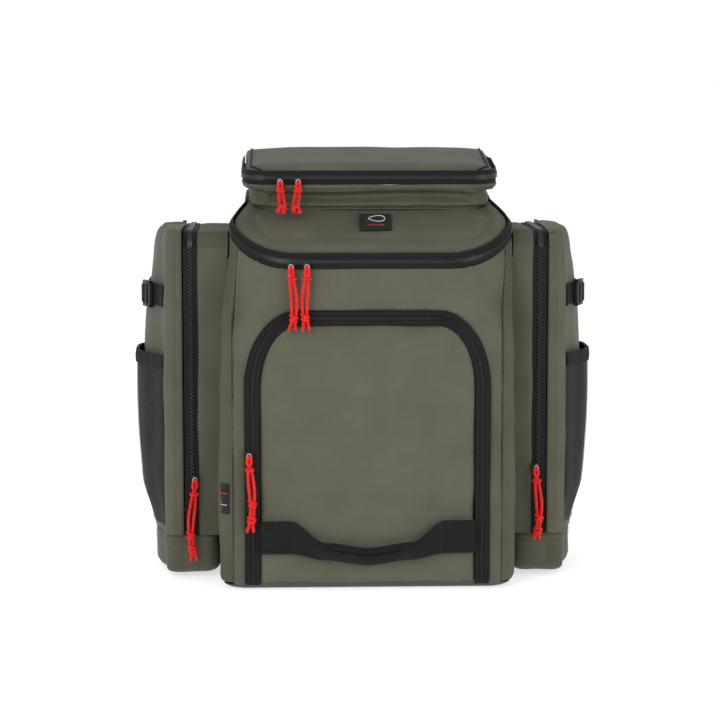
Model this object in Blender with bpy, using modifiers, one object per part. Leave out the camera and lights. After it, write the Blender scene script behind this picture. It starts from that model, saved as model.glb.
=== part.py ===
"""Tackle backpack: a fabric pack that stands on a coated base, with a zipped main lid that carries a
top pocket, a zipped front pocket, and a zipped pocket with a net sleeve on each side.

Metres. +X is to the right for someone who faces the pack's front, -Y is the front, +Z is up. The origin
is on the floor, under the middle of the main body's width and a little behind its middle in depth.
"""
import math

import bmesh
import bpy
from mathutils import Vector

# ---- driving dimensions --------------------------------------------------------------------------
GAP = 0.0003                # between pieces that touch
SEW = 0.0015                # between panels whose walls lean towards each other
WALL = 0.004                # padded pack cloth
TAPE = 0.003                # zip tape with its coil
ZIP_HALF = 0.008            # width of one half of a zip

HALF_WIDTH = 0.1705         # main body, from the middle to a side, low down
RIM_NARROW = 0.005          # how much narrower the rim is, each side
RIM_HALF = HALF_WIDTH - RIM_NARROW
LEAN = 0.006                # how far the top leans to the right
LEAN_FROM = (0.300, 0.400)
FRONT_Y = -0.150
BACK_Y = 0.100
BASE_THICK = 0.006
BOARD_THICK = 0.003
FOOT_ROUND = 0.018          # rounding of the body's lower edges
RIM_FRONT = 0.3717          # height of the body's walls at the front and at the back
RIM_BACK = 0.438
RIM_BEND = 2.5              # how late the rim climbs
RIM_TAPER = 0.020           # how much narrower the rim is at the back, each side, and where it narrows
RIM_TAPER_Y = (-0.100, 0.000)
CORNER_LOW = 0.018          # radius of the front corners, low down and at the rim
CORNER_HIGH = 0.078
CORNER_BLEND = (0.280, 0.410)
CORNER_BACK = 0.020
TAPE_END = 0.90             # share of the side's outline that the lid's zip covers
SEAM_IN = 0.0155            # from the side to the seam between the front cloth and the side cloth
SEAM_X = HALF_WIDTH - SEAM_IN

FRONT_ZIP_IN = 0.0233       # from that seam to the middle line of the front pocket's zip
FRONT_ZIP_X = SEAM_X - FRONT_ZIP_IN
FRONT_ZIP_TOP = 0.3153
FRONT_ZIP_CORNER = (0.052, 0.080)
FRONT_BULGE = 0.006
DIVIDER_Y = -0.100          # panel between the front pocket and the main compartment

POCKET_FRONT_Y = -0.0575    # top pocket
POCKET_BACK_Y = 0.092
POCKET_HALF = 0.136
POCKET_FLARE = 0.013        # wider at the rim than at the lid
POCKET_CORNER = 0.025
POCKET_RIM = 0.464          # top of its wall at the front
POCKET_SLOPE = 0.125
POCKET_CROWN = 0.0075

SIDE_FRONT_Y = -0.084       # side pockets
SIDE_BACK_Y = 0.075
SIDE_ZIP_OUT = 0.0335       # from the body to the middle line of the side pocket's zip
SIDE_ZIP_X = HALF_WIDTH + SIDE_ZIP_OUT
SIDE_BASE_TOP = 0.052
SIDE_TOP = 0.410
SIDE_DEPTH = 0.046          # how far the door stands out from its zip, at top and bottom
SIDE_BULGE = 0.012          # and how much more at half height
SIDE_FLOOR = 0.001
SIDE_FACE = 0.0215          # how far its flat front reaches out from the zip
SIDE_ROUND = (0.010, 0.018) # its front and back corners
NET_Z = (0.060, 0.264)
NET_Y = (-0.070, 0.056)
NET_STAND = 0.008
STRAP_Z = 0.333
STRAP_WIDE = 0.025
WEB = 0.002                 # webbing thickness

HANDLE_WIDE = 0.038
HANDLE_Z = 0.0639
HANDLE_END_X = 0.122
HANDLE_FREE_X = 0.089
HANDLE_STAND = 0.0107       # its outer face at its ends, in front of the body

STRAP_STAND = 0.034         # shoulder straps' ends, behind the back panel
CORD = 0.0065               # doubled pull cord
SLIDER = (0.0074, 0.006, 0.012)


# ---- small helpers -------------------------------------------------------------------------------
def clear_scene():
    for old in list(bpy.data.objects):
        bpy.data.objects.remove(old, do_unlink=True)


def cloth(name, colour, roughness=0.9, metallic=0.0):
    made = bpy.data.materials.new(name)
    made.use_nodes = True
    shader = made.node_tree.nodes["Principled BSDF"]
    shader.inputs["Base Color"].default_value = (*colour, 1.0)
    shader.inputs["Roughness"].default_value = roughness
    shader.inputs["Metallic"].default_value = metallic
    return made


def smooth(low, high, value):
    """0 below low, 1 above high, and an S between."""
    share = min(1.0, max(0.0, (value - low) / (high - low)))
    return share * share * (3.0 - 2.0 * share)


def mix(first, second, share):
    return first + (second - first) * share


def add_mesh(name, mesh, finish):
    thing = bpy.data.objects.new(name, mesh)
    mesh.materials.append(finish)
    PACK.objects.link(thing)
    return thing


def panel(name, surface, columns, rows, wall, finish, ring=False, lean=LEAN):
    """A sheet of cloth: a grid laid on surface(u, v), with its wall behind it. u runs to the right and v
    up as seen from outside, so the faces point out. A ring's two ends are joined. The top leans over."""
    grid = bmesh.new()
    bmesh.ops.create_grid(grid, x_segments=columns, y_segments=rows, size=0.5)
    for vert in grid.verts:
        vert.co = surface(vert.co.x + 0.5, vert.co.y + 0.5)
        vert.co.x += lean * smooth(*LEAN_FROM, vert.co.z)
    if ring:
        bmesh.ops.remove_doubles(grid, verts=grid.verts, dist=0.00001)
    mesh = bpy.data.meshes.new(name)
    grid.to_mesh(mesh)
    grid.free()
    thing = add_mesh(name, mesh, finish)
    solid = thing.modifiers.new("Wall", "SOLIDIFY")
    solid.thickness = wall
    solid.offset = -1.0
    return thing


def on_side(surface, side):
    """The right-hand surface for side +1, and its mirror image, still facing out, for side -1."""
    if side > 0:
        return surface

    def mirrored(u, v):
        point = surface(1.0 - u, v)
        return Vector((-point.x, point.y, point.z))
    return mirrored


def block(name, size, place, finish, round_by=0.001):
    """A rounded block, its origin at its middle."""
    box = bmesh.new()
    bmesh.ops.create_cube(box, size=1.0)
    for vert in box.verts:
        vert.co = Vector((vert.co.x * size[0], vert.co.y * size[1], vert.co.z * size[2]))
    mesh = bpy.data.meshes.new(name)
    box.to_mesh(mesh)
    box.free()
    thing = add_mesh(name, mesh, finish)
    thing.location = place
    edge = thing.modifiers.new("Edges", "BEVEL")
    edge.width = round_by
    edge.segments = 1
    return thing


def plate(name, half_x, low_y, high_y, corner, bottom, thick, finish):
    """A flat plate with round corners, lying level."""
    curve = bpy.data.curves.new(name, "CURVE")
    curve.dimensions = "2D"
    curve.fill_mode = "BOTH"
    curve.extrude = thick / 2.0
    centres = ((half_x - corner, high_y - corner), (corner - half_x, high_y - corner),
               (corner - half_x, low_y + corner), (half_x - corner, low_y + corner))
    points = []
    for quarter, (cx, cy) in enumerate(centres):
        for step in range(5):
            angle = (quarter + step / 4.0) * math.pi / 2.0
            points.append((cx + corner * math.cos(angle), cy + corner * math.sin(angle)))
    line = curve.splines.new("POLY")
    line.points.add(len(points) - 1)
    for point, (x, y) in zip(line.points, points):
        point.co = (x, y, 0.0, 1.0)
    line.use_cyclic_u = True
    thing = bpy.data.objects.new(name, curve)
    curve.materials.append(finish)
    PACK.objects.link(thing)
    thing.location = (0.0, 0.0, bottom + thick / 2.0)
    return thing


def pull_cord(name, top, length, finish, turn=0.0):
    """A doubled cord that hangs from its slider, thick at the collar and at the knot near its end. Its
    origin is the pivot. Where a ledge is below it, its lower half turns forward to lie over the ledge."""
    curve = bpy.data.curves.new(name, "CURVE")
    curve.dimensions = "3D"
    curve.bevel_depth = CORD / 2.0
    curve.bevel_resolution = 2
    curve.use_fill_caps = True
    stations = ((0.00, 0.55), (0.08, 0.95), (0.14, 1.30), (0.20, 1.30), (0.27, 0.95), (0.60, 0.95),
                (0.72, 1.00), (0.77, 1.45), (0.84, 1.45), (0.89, 0.95), (1.00, 0.80))
    line = curve.splines.new("POLY")
    line.points.add(len(stations) - 1)
    place = Vector((0.0, 0.0, 0.0))
    before = 0.0
    for point, (along, thick) in zip(line.points, stations):
        angle = turn * smooth(0.25, 0.60, (before + along) / 2.0)
        place += Vector((0.0, -math.sin(angle), -math.cos(angle))) * (along - before) * length
        point.co = (*place, 1.0)
        point.radius = thick
        before = along
    thing = bpy.data.objects.new(name, curve)
    curve.materials.append(finish)
    PACK.objects.link(thing)
    thing.location = top
    return thing


# ---- shapes that several pieces share ------------------------------------------------------------
def foot_inset(z):
    """How far the walls come in at their rounded lower edge."""
    if z >= FOOT_ROUND:
        return 0.0
    return FOOT_ROUND - math.sqrt(FOOT_ROUND ** 2 - (FOOT_ROUND - z) ** 2)


def half_at(z):
    """Half the body's width at a height."""
    return mix(HALF_WIDTH, RIM_HALF, smooth(0.100, 0.380, z)) - foot_inset(z)


def rear_taper(y):
    """How much narrower the rim is at a depth."""
    return RIM_TAPER * smooth(*RIM_TAPER_Y, y)


def rim_height(y):
    share = min(1.0, max(0.0, (BACK_Y - y) / (BACK_Y - FRONT_Y)))
    return RIM_BACK - (RIM_BACK - RIM_FRONT) * share ** RIM_BEND


def corner_radius(z):
    return mix(CORNER_LOW, CORNER_HIGH, smooth(*CORNER_BLEND, z))


def front_y(x, z):
    """The front of the body at a place across it."""
    radius = corner_radius(z)
    past = max(0.0, abs(x) - (half_at(z) - radius))
    return FRONT_Y + foot_inset(z) + radius - math.sqrt(max(0.0, radius ** 2 - past ** 2))


def body_plan(share, z, start_x=SEAM_X, inward=0.0):
    """A point of the right side's outline at height z: share 0 is start_x on the front, 1 is the end of
    the back corner."""
    radius = corner_radius(z)
    half = half_at(z)
    low = FRONT_Y + foot_inset(z)
    high = BACK_Y - foot_inset(z)
    if share < 0.35:
        start = math.asin(max(0.0, min(1.0, (start_x - half + radius) / radius)))
        angle = mix(start, math.pi / 2.0, share / 0.35)
        point = Vector((half - radius + (radius - inward) * math.sin(angle),
                        low + radius - (radius - inward) * math.cos(angle), 0.0))
    elif share < 0.75:
        y = mix(low + radius, high - CORNER_BACK, (share - 0.35) / 0.40)
        point = Vector((half - inward, y, 0.0))
    else:
        angle = (share - 0.75) / 0.25 * math.pi / 2.0
        point = Vector((half - CORNER_BACK + (CORNER_BACK - inward) * math.cos(angle),
                        high - CORNER_BACK + (CORNER_BACK - inward) * math.sin(angle), 0.0))
    point.x -= rear_taper(point.y) * smooth(*CORNER_BLEND, z)
    point.z = z
    return point


def rim_plan(share, lift, inward):
    """A point of the rim, lift above it: share -1 is the left back, 0 the front middle, 1 the right
    back."""
    reach = abs(share)
    straight = 0.22
    z = CORNER_BLEND[1]
    if reach < straight:
        point = Vector(((RIM_HALF - CORNER_HIGH) * reach / straight, FRONT_Y + inward, 0.0))
    else:
        along = (reach - straight) / (1.0 - straight) * TAPE_END
        point = body_plan(along, z, RIM_HALF - CORNER_HIGH, inward)
    point.z = rim_height(point.y) + lift
    if share < 0.0:
        point.x = -point.x
    return point


def lid_height(y):
    return rim_height(y) + 2.0 * ZIP_HALF


def lid_half_width(y, inset):
    """Half the width of the lid's D, inset from the body's outline."""
    radius = CORNER_HIGH - inset
    low = FRONT_Y + inset
    half = RIM_HALF - inset - rear_taper(y)
    if y < low + radius:
        return half - radius + math.sqrt(max(0.0, radius ** 2 - (low + radius - y) ** 2))
    past = max(0.0, y - BACK_Y + CORNER_BACK)
    return half - CORNER_BACK + math.sqrt(max(0.0, CORNER_BACK ** 2 - past ** 2))


def round_rows(v, low, high, low_round, high_round):
    """A coordinate from low to high whose rows crowd towards the rounded ends."""
    if v < 0.3 and low_round > 0.0:
        return low + low_round * (1.0 - math.cos(v / 0.3 * math.pi / 2.0))
    if v > 0.7 and high_round > 0.0:
        return high - high_round * (1.0 - math.cos((1.0 - v) / 0.3 * math.pi / 2.0))
    start = 0.3 if low_round > 0.0 else 0.0
    stop = 0.7 if high_round > 0.0 else 1.0
    return mix(low + low_round, high - high_round, (v - start) / (stop - start))


def zip_arch(share, offset):
    """A point (x, z) of the front pocket's zip, offset outwards from its middle line: share 0 is the foot
    of the left leg, 1 the foot of the right leg."""
    wide, tall = FRONT_ZIP_CORNER
    foot = BASE_THICK + GAP
    half = FRONT_ZIP_X + offset
    top = FRONT_ZIP_TOP + offset
    round_x = wide + offset
    round_z = tall + offset
    reach = min(share, 1.0 - share) * 2.0
    if reach < 0.4:
        x = half
        z = mix(foot, top - round_z, reach / 0.4)
    elif reach < 0.75:
        angle = (reach - 0.4) / 0.35 * math.pi / 2.0
        x = half - round_x + round_x * math.cos(angle)
        z = top - round_z + round_z * math.sin(angle)
    else:
        x = (half - round_x) * (1.0 - (reach - 0.75) / 0.25)
        z = top
    return (-x if share < 0.5 else x), z


def door_side(y, depth):
    """How far the pocket's outer side stands out from its zip: its front edge is straight, and it slants
    out from there to its full depth."""
    return mix(SIDE_FACE, depth, smooth(SIDE_FRONT_Y, 0.000, y))


def door_plan(u, depth):
    """The door's outline at one height: (out, y), u from the front zip round to the back zip."""
    front, back = SIDE_ROUND
    if u < 0.15:
        return mix(0.0, SIDE_FACE - front, u / 0.15), SIDE_FRONT_Y
    if u < 0.30:
        angle = (u - 0.15) / 0.15 * math.pi / 2.0
        return SIDE_FACE - front + front * math.sin(angle), SIDE_FRONT_Y + front * (1.0 - math.cos(angle))
    if u < 0.75:
        y = mix(SIDE_FRONT_Y + front, SIDE_BACK_Y - back, (u - 0.30) / 0.45)
        blend = smooth(0.30, 0.45, u)
        return mix(SIDE_FACE, door_side(y, depth), blend), y
    if u < 0.90:
        angle = (u - 0.75) / 0.15 * math.pi / 2.0
        return depth - back + back * math.cos(angle), SIDE_BACK_Y - back * (1.0 - math.sin(angle))
    return mix(depth - back, 0.0, (u - 0.90) / 0.10), SIDE_BACK_Y


def door_depth(climb):
    """How far the door stands out at a share of its height."""
    return SIDE_DEPTH - ZIP_HALF - SEW + SIDE_BULGE * math.sin(math.pi * climb)


def door_point(u, v):
    """The right side pocket's door: u goes from the front zip round to the back zip, v from the bottom
    seam to the top zip."""
    climb = math.sin(v * math.pi / 2.0) ** 0.75
    fall = max(0.0, math.cos(v * math.pi / 2.0)) ** 0.16
    out, y = door_plan(u, door_depth(climb))
    return Vector((SIDE_ZIP_X + ZIP_HALF + SEW + out * fall, y, mix(SIDE_BASE_TOP + GAP, SIDE_TOP, climb)))


def door_out(y, z):
    """How far out the right door's cloth is at a place on its outer side."""
    front, back = SIDE_ROUND
    climb = min(1.0, max(0.0, (z - SIDE_BASE_TOP) / (SIDE_TOP - SIDE_BASE_TOP)))
    fall = max(0.0, 1.0 - climb ** (2.0 / 0.75)) ** 0.08
    depth = door_depth(climb)
    share = (y - SIDE_FRONT_Y - front) / (SIDE_BACK_Y - back - SIDE_FRONT_Y - front)
    out = mix(SIDE_FACE, door_side(y, depth), smooth(0.0, 1.0 / 3.0, share))
    past = max(0.0, y - SIDE_BACK_Y + back)
    out -= back - math.sqrt(max(0.0, back ** 2 - past ** 2))
    return SIDE_ZIP_X + ZIP_HALF + SEW + out * fall


# ---- main body -----------------------------------------------------------------------------------
def build_base():
    inset = foot_inset(BASE_THICK)
    plate("base_panel", HALF_WIDTH - inset, FRONT_Y + inset, BACK_Y - inset, CORNER_LOW, 0.0, BASE_THICK,
          COATED)
    clear = inset + WALL + 0.004
    plate("base_board", HALF_WIDTH - clear, FRONT_Y + clear, BACK_Y - clear, CORNER_LOW - WALL,
          BASE_THICK + GAP, BOARD_THICK, BOARD)


def build_walls():
    foot = BASE_THICK + GAP

    def front(u, v):
        x_in, z_in = zip_arch(u, ZIP_HALF + GAP)
        reach = min(u, 1.0 - u) * 2.0
        edge = SEAM_X - SEW - GAP
        x_out = edge if reach < 0.6 else edge * (1.0 - (reach - 0.6) / 0.4)
        top = rim_height(front_y(x_out, RIM_FRONT + 0.02))
        if reach < 0.4:
            z_out = z_in
        elif reach < 0.6:
            z_out = mix(FRONT_ZIP_TOP - FRONT_ZIP_CORNER[1], top, (reach - 0.4) / 0.2)
        else:
            z_out = top
        x = mix(math.copysign(x_out, u - 0.5), x_in, v)
        z = mix(z_out, z_in, v)
        return Vector((x, front_y(x, z), z))
    # its rows run from the outer edge in to the zip, so u is turned round for the faces to point out
    panel("front_surround", lambda u, v: front(1.0 - u, v), 40, 3, WALL, OLIVE)

    def side_wall(u, v):
        point = body_plan(u, foot)
        for _ in range(4):
            height = mix(foot, rim_height(point.y), v)
            point = body_plan(u, height)
        return point
    for side, word in ((-1, "left"), (1, "right")):
        panel("side_panel_" + word, on_side(side_wall, side), 12, 12, WALL, OLIVE_SHADE)

    def back(u, v):
        z = mix(foot, lid_height(BACK_Y) - WALL - SEW, v)
        taper = RIM_TAPER * smooth(*CORNER_BLEND, z)
        half = half_at(z) - CORNER_BACK - taper - 2.0 * SEW
        return Vector((mix(half, -half, u), BACK_Y - foot_inset(z), z))
    panel("back_panel", back, 2, 12, WALL, OLIVE_SHADE)

    def divider(u, v):
        z = round_rows(v, foot + BOARD_THICK + 2.0 * GAP, 0.362, FOOT_ROUND, 0.0)
        half = half_at(z) - WALL - 0.006
        return Vector((mix(-half, half, u), DIVIDER_Y, z))
    panel("pocket_divider", divider, 2, 8, WALL, LINING)

    def rim_tape(u, v):
        return rim_plan(mix(-1.0, 1.0, u), mix(SEW, ZIP_HALF, v), 0.0)
    panel("main_zip_lower", rim_tape, 44, 1, TAPE, ZIP_BLACK)

    def arch_tape(low, high):
        def surface(u, v):
            x, z = zip_arch(1.0 - u, mix(high, low, v))
            return Vector((x, front_y(x, z) - 0.001, z))
        return surface
    panel("front_zip_outer", arch_tape(GAP, ZIP_HALF), 40, 1, TAPE, ZIP_BLACK)
    return arch_tape


def build_front_pocket(arch_tape):
    panel("front_zip_inner", arch_tape(-ZIP_HALF, -GAP), 40, 1, TAPE, ZIP_BLACK)
    wide, tall = FRONT_ZIP_CORNER
    inner = ZIP_HALF + GAP
    half = FRONT_ZIP_X - inner
    top = FRONT_ZIP_TOP - inner
    round_x = wide - inner
    round_z = tall - inner

    def face(u, v):
        z = round_rows(v, BASE_THICK + GAP, top, 0.0, round_z)
        past = max(0.0, z - (top - round_z)) / round_z
        reach = half - round_x * (1.0 - math.sqrt(max(0.0, 1.0 - past * past)))
        x = mix(-reach, reach, u)
        swell = (1.0 - (x / half) ** 4) * math.sin(math.pi * min(1.0, max(0.0, v))) ** 0.5
        return Vector((x, front_y(x, z) - FRONT_BULGE * max(0.0, swell), z))
    panel("front_panel", face, 8, 12, WALL, OLIVE)

    for side, word in ((-1, "left"), (1, "right")):
        middle = (HANDLE_END_X + HANDLE_FREE_X) / 2.0 + GAP
        long = HANDLE_END_X - HANDLE_FREE_X
        block("handle_anchor_" + word, (long, WEB, HANDLE_WIDE), (side * middle, FRONT_Y - 0.0088, HANDLE_Z),
              WEBBING, 0.0005)

    def grip(u, v):
        x = mix(-HANDLE_FREE_X, HANDLE_FREE_X, u)
        drop = smooth(0.0, 0.045, HANDLE_FREE_X - abs(x))
        tall = mix(HANDLE_WIDE, 0.020, drop)
        middle = HANDLE_Z - 0.021 * drop + 0.006 * smooth(0.0, 0.05, abs(x)) * drop
        out = FRONT_Y - HANDLE_STAND - 0.010 * drop
        return Vector((x, out, middle + tall * (v - 0.5)))
    panel("haul_handle", grip, 16, 1, WEB * 1.25, WEBBING)


# ---- lid and top pocket --------------------------------------------------------------------------
def build_lid():
    def upper_tape(u, v):
        return rim_plan(mix(-1.0, 1.0, u), mix(ZIP_HALF + 1.5 * SEW, 2.0 * ZIP_HALF, v), v * 0.003)
    panel("main_zip_upper", upper_tape, 44, 1, TAPE, ZIP_BLACK)

    inset = 0.0085
    low = FRONT_Y + inset
    high = BACK_Y - 0.001

    def cover(u, v):
        y = round_rows(v, low, high, CORNER_HIGH - inset, CORNER_BACK)
        half = lid_half_width(y, inset)
        x = mix(-half, half, u)
        return Vector((x, y, lid_height(y)))
    panel("main_lid", cover, 8, 16, WALL, OLIVE)


def pocket_ring(share, grow):
    """A point (x, y) of the top pocket's outline: share -1 is the left back, 0 the front middle."""
    half = POCKET_HALF + grow
    low = POCKET_FRONT_Y - grow / 2.0
    corner = POCKET_CORNER
    reach = abs(share)
    if reach < 0.4:
        x, y = (half - corner) * reach / 0.4, low
    elif reach < 0.65:
        angle = (reach - 0.4) / 0.25 * math.pi / 2.0
        x = half - corner + corner * math.sin(angle)
        y = low + corner - corner * math.cos(angle)
    else:
        x = half
        y = mix(low + corner, POCKET_BACK_Y - WALL - GAP, (reach - 0.65) / 0.35)
    return math.copysign(x, share), y


def pocket_edge(y):
    return POCKET_RIM + POCKET_SLOPE * (y - POCKET_FRONT_Y)


def build_top_pocket():
    def wall(u, v):
        x, y = pocket_ring(mix(-1.0, 1.0, u), POCKET_FLARE * v)
        return Vector((x, y, mix(lid_height(y) + SEW, pocket_edge(y) - 2.0 * SEW, v)))
    panel("top_pocket_walls", wall, 28, 3, WALL, OLIVE_SHADE)

    def back(u, v):
        low = lid_height(POCKET_BACK_Y) + 0.001
        high = pocket_edge(POCKET_BACK_Y) + 2.0 * ZIP_HALF - WALL - SEW
        half = POCKET_HALF - 0.001
        return Vector((mix(half, -half, u), POCKET_BACK_Y, mix(low, high, v)))
    panel("top_pocket_back", back, 2, 2, WALL - 2.0 * GAP, OLIVE_SHADE)

    def tape(low, high):
        def surface(u, v):
            x, y = pocket_ring(mix(-1.0, 1.0, u), POCKET_FLARE)
            return Vector((x, y, pocket_edge(y) + mix(low, high, v)))
        return surface
    panel("top_zip_lower", tape(0.0, ZIP_HALF - GAP), 28, 1, TAPE, ZIP_BLACK)
    panel("top_zip_upper", tape(ZIP_HALF + GAP, 2.0 * ZIP_HALF), 28, 1, TAPE, ZIP_BLACK)

    low = POCKET_FRONT_Y - POCKET_FLARE / 2.0
    inset = TAPE + SEW
    full = POCKET_HALF + POCKET_FLARE - inset
    corner = POCKET_CORNER - inset

    def cover(u, v):
        y = round_rows(v, low + inset, POCKET_BACK_Y, corner, 0.0)
        past = max(0.0, low + inset + corner - y)
        half = full - corner + math.sqrt(max(0.0, corner ** 2 - past ** 2))
        turn = math.sin((2.0 * u - 1.0) * math.pi / 2.0)
        crown = (1.0 - turn ** 6) * (1.0 - (2.0 * v - 1.0) ** 6)
        return Vector((half * turn, y, pocket_edge(y) + 2.0 * ZIP_HALF + POCKET_CROWN * crown))
    panel("top_lid", cover, 10, 10, WALL, OLIVE)


# ---- side pockets --------------------------------------------------------------------------------
def gusset_point(share, x, inward=0.0):
    """A point of the arch that a side pocket's strip follows: share 0 is the front foot, 1 the back."""
    corner = 0.018
    low = SIDE_BASE_TOP + GAP
    half = (SIDE_BACK_Y - SIDE_FRONT_Y) / 2.0 - inward
    middle = (SIDE_FRONT_Y + SIDE_BACK_Y) / 2.0
    top = SIDE_TOP - inward
    reach = min(share, 1.0 - share) * 2.0
    if reach < 0.5:
        y, z = half, mix(low, top - corner, reach / 0.5)
    elif reach < 0.75:
        angle = (reach - 0.5) / 0.25 * math.pi / 2.0
        y = half - corner + corner * math.cos(angle)
        z = top - corner + corner * math.sin(angle)
    else:
        y, z = (half - corner) * (1.0 - (reach - 0.75) / 0.25), top
    return Vector((x, middle + (y if share > 0.5 else -y), z))


def build_side_pocket(side, word):
    start = HALF_WIDTH + 2.0 * GAP

    def strip(low, high):
        def surface(u, v):
            return gusset_point(u, mix(high, low, v))
        return on_side(surface, side)

    def frame(u, v):
        return gusset_point(u, mix(SIDE_ZIP_X - ZIP_HALF - GAP, start, v), 0.001)
    panel("side_pocket_frame_" + word, on_side(frame, side), 20, 2, WALL - 0.001, OLIVE_SHADE, lean=0.0)
    panel("side_zip_fixed_" + word, strip(SIDE_ZIP_X - ZIP_HALF, SIDE_ZIP_X - GAP), 20, 1, TAPE, ZIP_BLACK,
          lean=0.0)
    panel("side_zip_door_" + word, strip(SIDE_ZIP_X + GAP, SIDE_ZIP_X + ZIP_HALF), 20, 1, TAPE, ZIP_BLACK,
          lean=0.0)
    panel("side_door_" + word, on_side(door_point, side), 20, 12, 0.003, OLIVE, lean=0.0)

    middle = Vector(((start + SIDE_ZIP_X + SIDE_DEPTH) / 2.0, (SIDE_FRONT_Y + SIDE_BACK_Y) / 2.0, 0.0))
    base_round = 0.016

    def outline(u):
        # the outer two thirds follow the door, and the rest goes back along the body
        seam = SIDE_ZIP_X + ZIP_HALF + SEW
        if u < 0.65:
            out, y = door_plan(u / 0.65, door_depth(0.0))
            return Vector((seam + out, y, 0.0))
        along = (u - 0.65) / 0.35
        wave = (abs(math.cos(along * math.pi)) ** 6 + abs(math.sin(along * math.pi)) ** 6) ** (-1.0 / 6.0)
        half = (SIDE_BACK_Y - SIDE_FRONT_Y) / 2.0
        return Vector((seam - (seam - start) * wave * math.sin(along * math.pi),
                       middle.y + half * wave * math.cos(along * math.pi), 0.0))

    def cup(u, v):
        # v goes from the flat bottom's middle out to its rounded edge and up to the seam
        if v < 0.75:
            angle = v / 0.75 * math.pi / 2.0
            share = mix(0.05, 1.0, math.sin(angle) ** 0.7)
            z = SIDE_FLOOR + base_round * (1.0 - math.cos(angle) ** 0.7)
        else:
            share = 1.0
            z = mix(SIDE_FLOOR + base_round, SIDE_BASE_TOP - GAP, (v - 0.75) / 0.25)
        point = middle + (outline(u) - middle) * share
        return Vector((point.x, point.y, z))
    shell = panel("side_pocket_base_" + word, on_side(cup, side), 28, 7, 0.003, OLIVE_SHADE, ring=True,
                  lean=0.0)
    close_hole(shell)

    def net(u, v):
        y = mix(NET_Y[0], NET_Y[1], u)
        z = mix(NET_Z[0], NET_Z[1], v)
        edge = 1.0 - (2.0 * u - 1.0) ** 8
        rise = smooth(0.0, 0.25, v) if v < 0.25 else 1.0
        return Vector((door_out(y, z) + 0.0024 + NET_STAND * edge * rise, y, z))
    panel("mesh_pocket_" + word, on_side(net, side), 12, 8, 0.0015, NET, lean=0.0)

    def strap(u, v):
        y = mix(NET_Y[0], NET_Y[1], u)
        z = STRAP_Z + STRAP_WIDE * (v - 0.5)
        return Vector((door_out(y, z) + WEB + 0.0012, y, z))
    panel("side_strap_" + word, on_side(strap, side), 14, 2, WEB, WEBBING, lean=0.0)

    ahead, behind = (door_out(-0.030 + step, STRAP_Z) for step in (-0.012, 0.012))
    place = (ahead + behind) / 2.0 + WEB + 0.0032 + 0.0035
    buckle = block("side_buckle_" + word, (0.005, 0.024, 0.031), (side * place, -0.030, STRAP_Z), PLASTIC)
    buckle.rotation_euler.z = -side * math.atan2(behind - ahead, 0.024)


def close_hole(thing):
    """Fill the small round hole left at the middle of a cup."""
    work = bmesh.new()
    work.from_mesh(thing.data)
    lowest = min(vert.co.z for vert in work.verts)
    edges = [edge for edge in work.edges
             if edge.is_boundary and max(vert.co.z for vert in edge.verts) < lowest + 0.004]
    bmesh.ops.contextual_create(work, geom=edges)
    bmesh.ops.recalc_face_normals(work, faces=work.faces)
    work.to_mesh(thing.data)
    work.free()


# ---- back ----------------------------------------------------------------------------------------
def build_back():
    for side, word in ((-1, "left"), (1, "right")):
        block("back_pad_" + word, (0.100, 0.014, 0.300), (side * 0.070, BACK_Y + 0.0075, 0.226), PADDED, 0.005)

        def strap(u, v):
            along = 1.0 - v
            x = mix(0.085, 0.105, along) + (u - 0.5) * -mix(0.062, 0.046, along)
            y = BACK_Y + STRAP_STAND + 0.020 * math.sin(math.pi * along ** 0.8)
            return Vector((x, y, mix(0.150, 0.425, 1.0 - along)))
        panel("shoulder_strap_" + word, on_side(strap, side), 4, 12, 0.010, PADDED, lean=0.0)
        lock_place = (side * 0.1055, BACK_Y + STRAP_STAND - 0.003, 0.1345)
        block("ladder_lock_" + word, (0.034, 0.006, 0.028), lock_place, PLASTIC)

        def webbing(u, v):
            x = mix(0.128, 0.106, v) + (u - 0.5) * -0.025
            y = BACK_Y + mix(0.006, STRAP_STAND - 0.0035, math.sin(v * math.pi / 2.0))
            return Vector((x, y, mix(0.026, 0.1200, v)))
        panel("strap_webbing_" + word, on_side(webbing, side), 1, 8, WEB, WEBBING, lean=0.0)

    def loop(u, v):
        x = mix(0.050, -0.050, u)
        rise = math.sin(math.pi * u) ** 0.6
        return Vector((x, BACK_Y + 0.004 + 0.026 * rise, 0.408 + 0.025 * (v - 0.5)))
    panel("grab_handle", loop, 14, 1, WEB, WEBBING, lean=0.0)


# ---- zip sliders and their cords -----------------------------------------------------------------
def build_pulls():
    lid_y = FRONT_Y - SLIDER[1] / 2.0 - GAP
    lid_z = RIM_FRONT + 0.002
    pocket_y = POCKET_FRONT_Y - POCKET_FLARE / 2.0 - SLIDER[1] / 2.0 - GAP
    pocket_z = POCKET_RIM + 0.0015
    side_y = SIDE_FRONT_Y - SLIDER[1] / 2.0 - GAP
    side_x = SIDE_ZIP_X - SLIDER[0] / 2.0 - GAP
    front_y_at = FRONT_Y - 0.001 - SLIDER[1] / 2.0 - GAP
    places = (("lid_slider_left", -0.087, lid_y, lid_z, 0.071),
              ("lid_slider_right", -0.069, lid_y, lid_z, 0.071),
              ("top_slider_left", -0.099, pocket_y, pocket_z, 0.056),
              ("top_slider_right", -0.078, pocket_y, pocket_z, 0.056),
              ("front_slider", -FRONT_ZIP_X - SLIDER[0] / 2.0 - GAP, front_y_at, 0.158, 0.087),
              ("side_slider_left", -side_x, side_y, 0.119, 0.095),
              ("side_slider_right", side_x, side_y, 0.131, 0.084))
    for name, x, y, z, length in places:
        block(name, SLIDER, (x, y, z), METAL, 0.0008)
        out = y - SLIDER[1] / 2.0 - CORD / 2.0 * 1.45 - 0.0012
        turn = math.radians(80.0) if name.startswith("top") else 0.0
        pull_cord(name.replace("slider", "pull"), (x, out, z), length, RED, turn)


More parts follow.
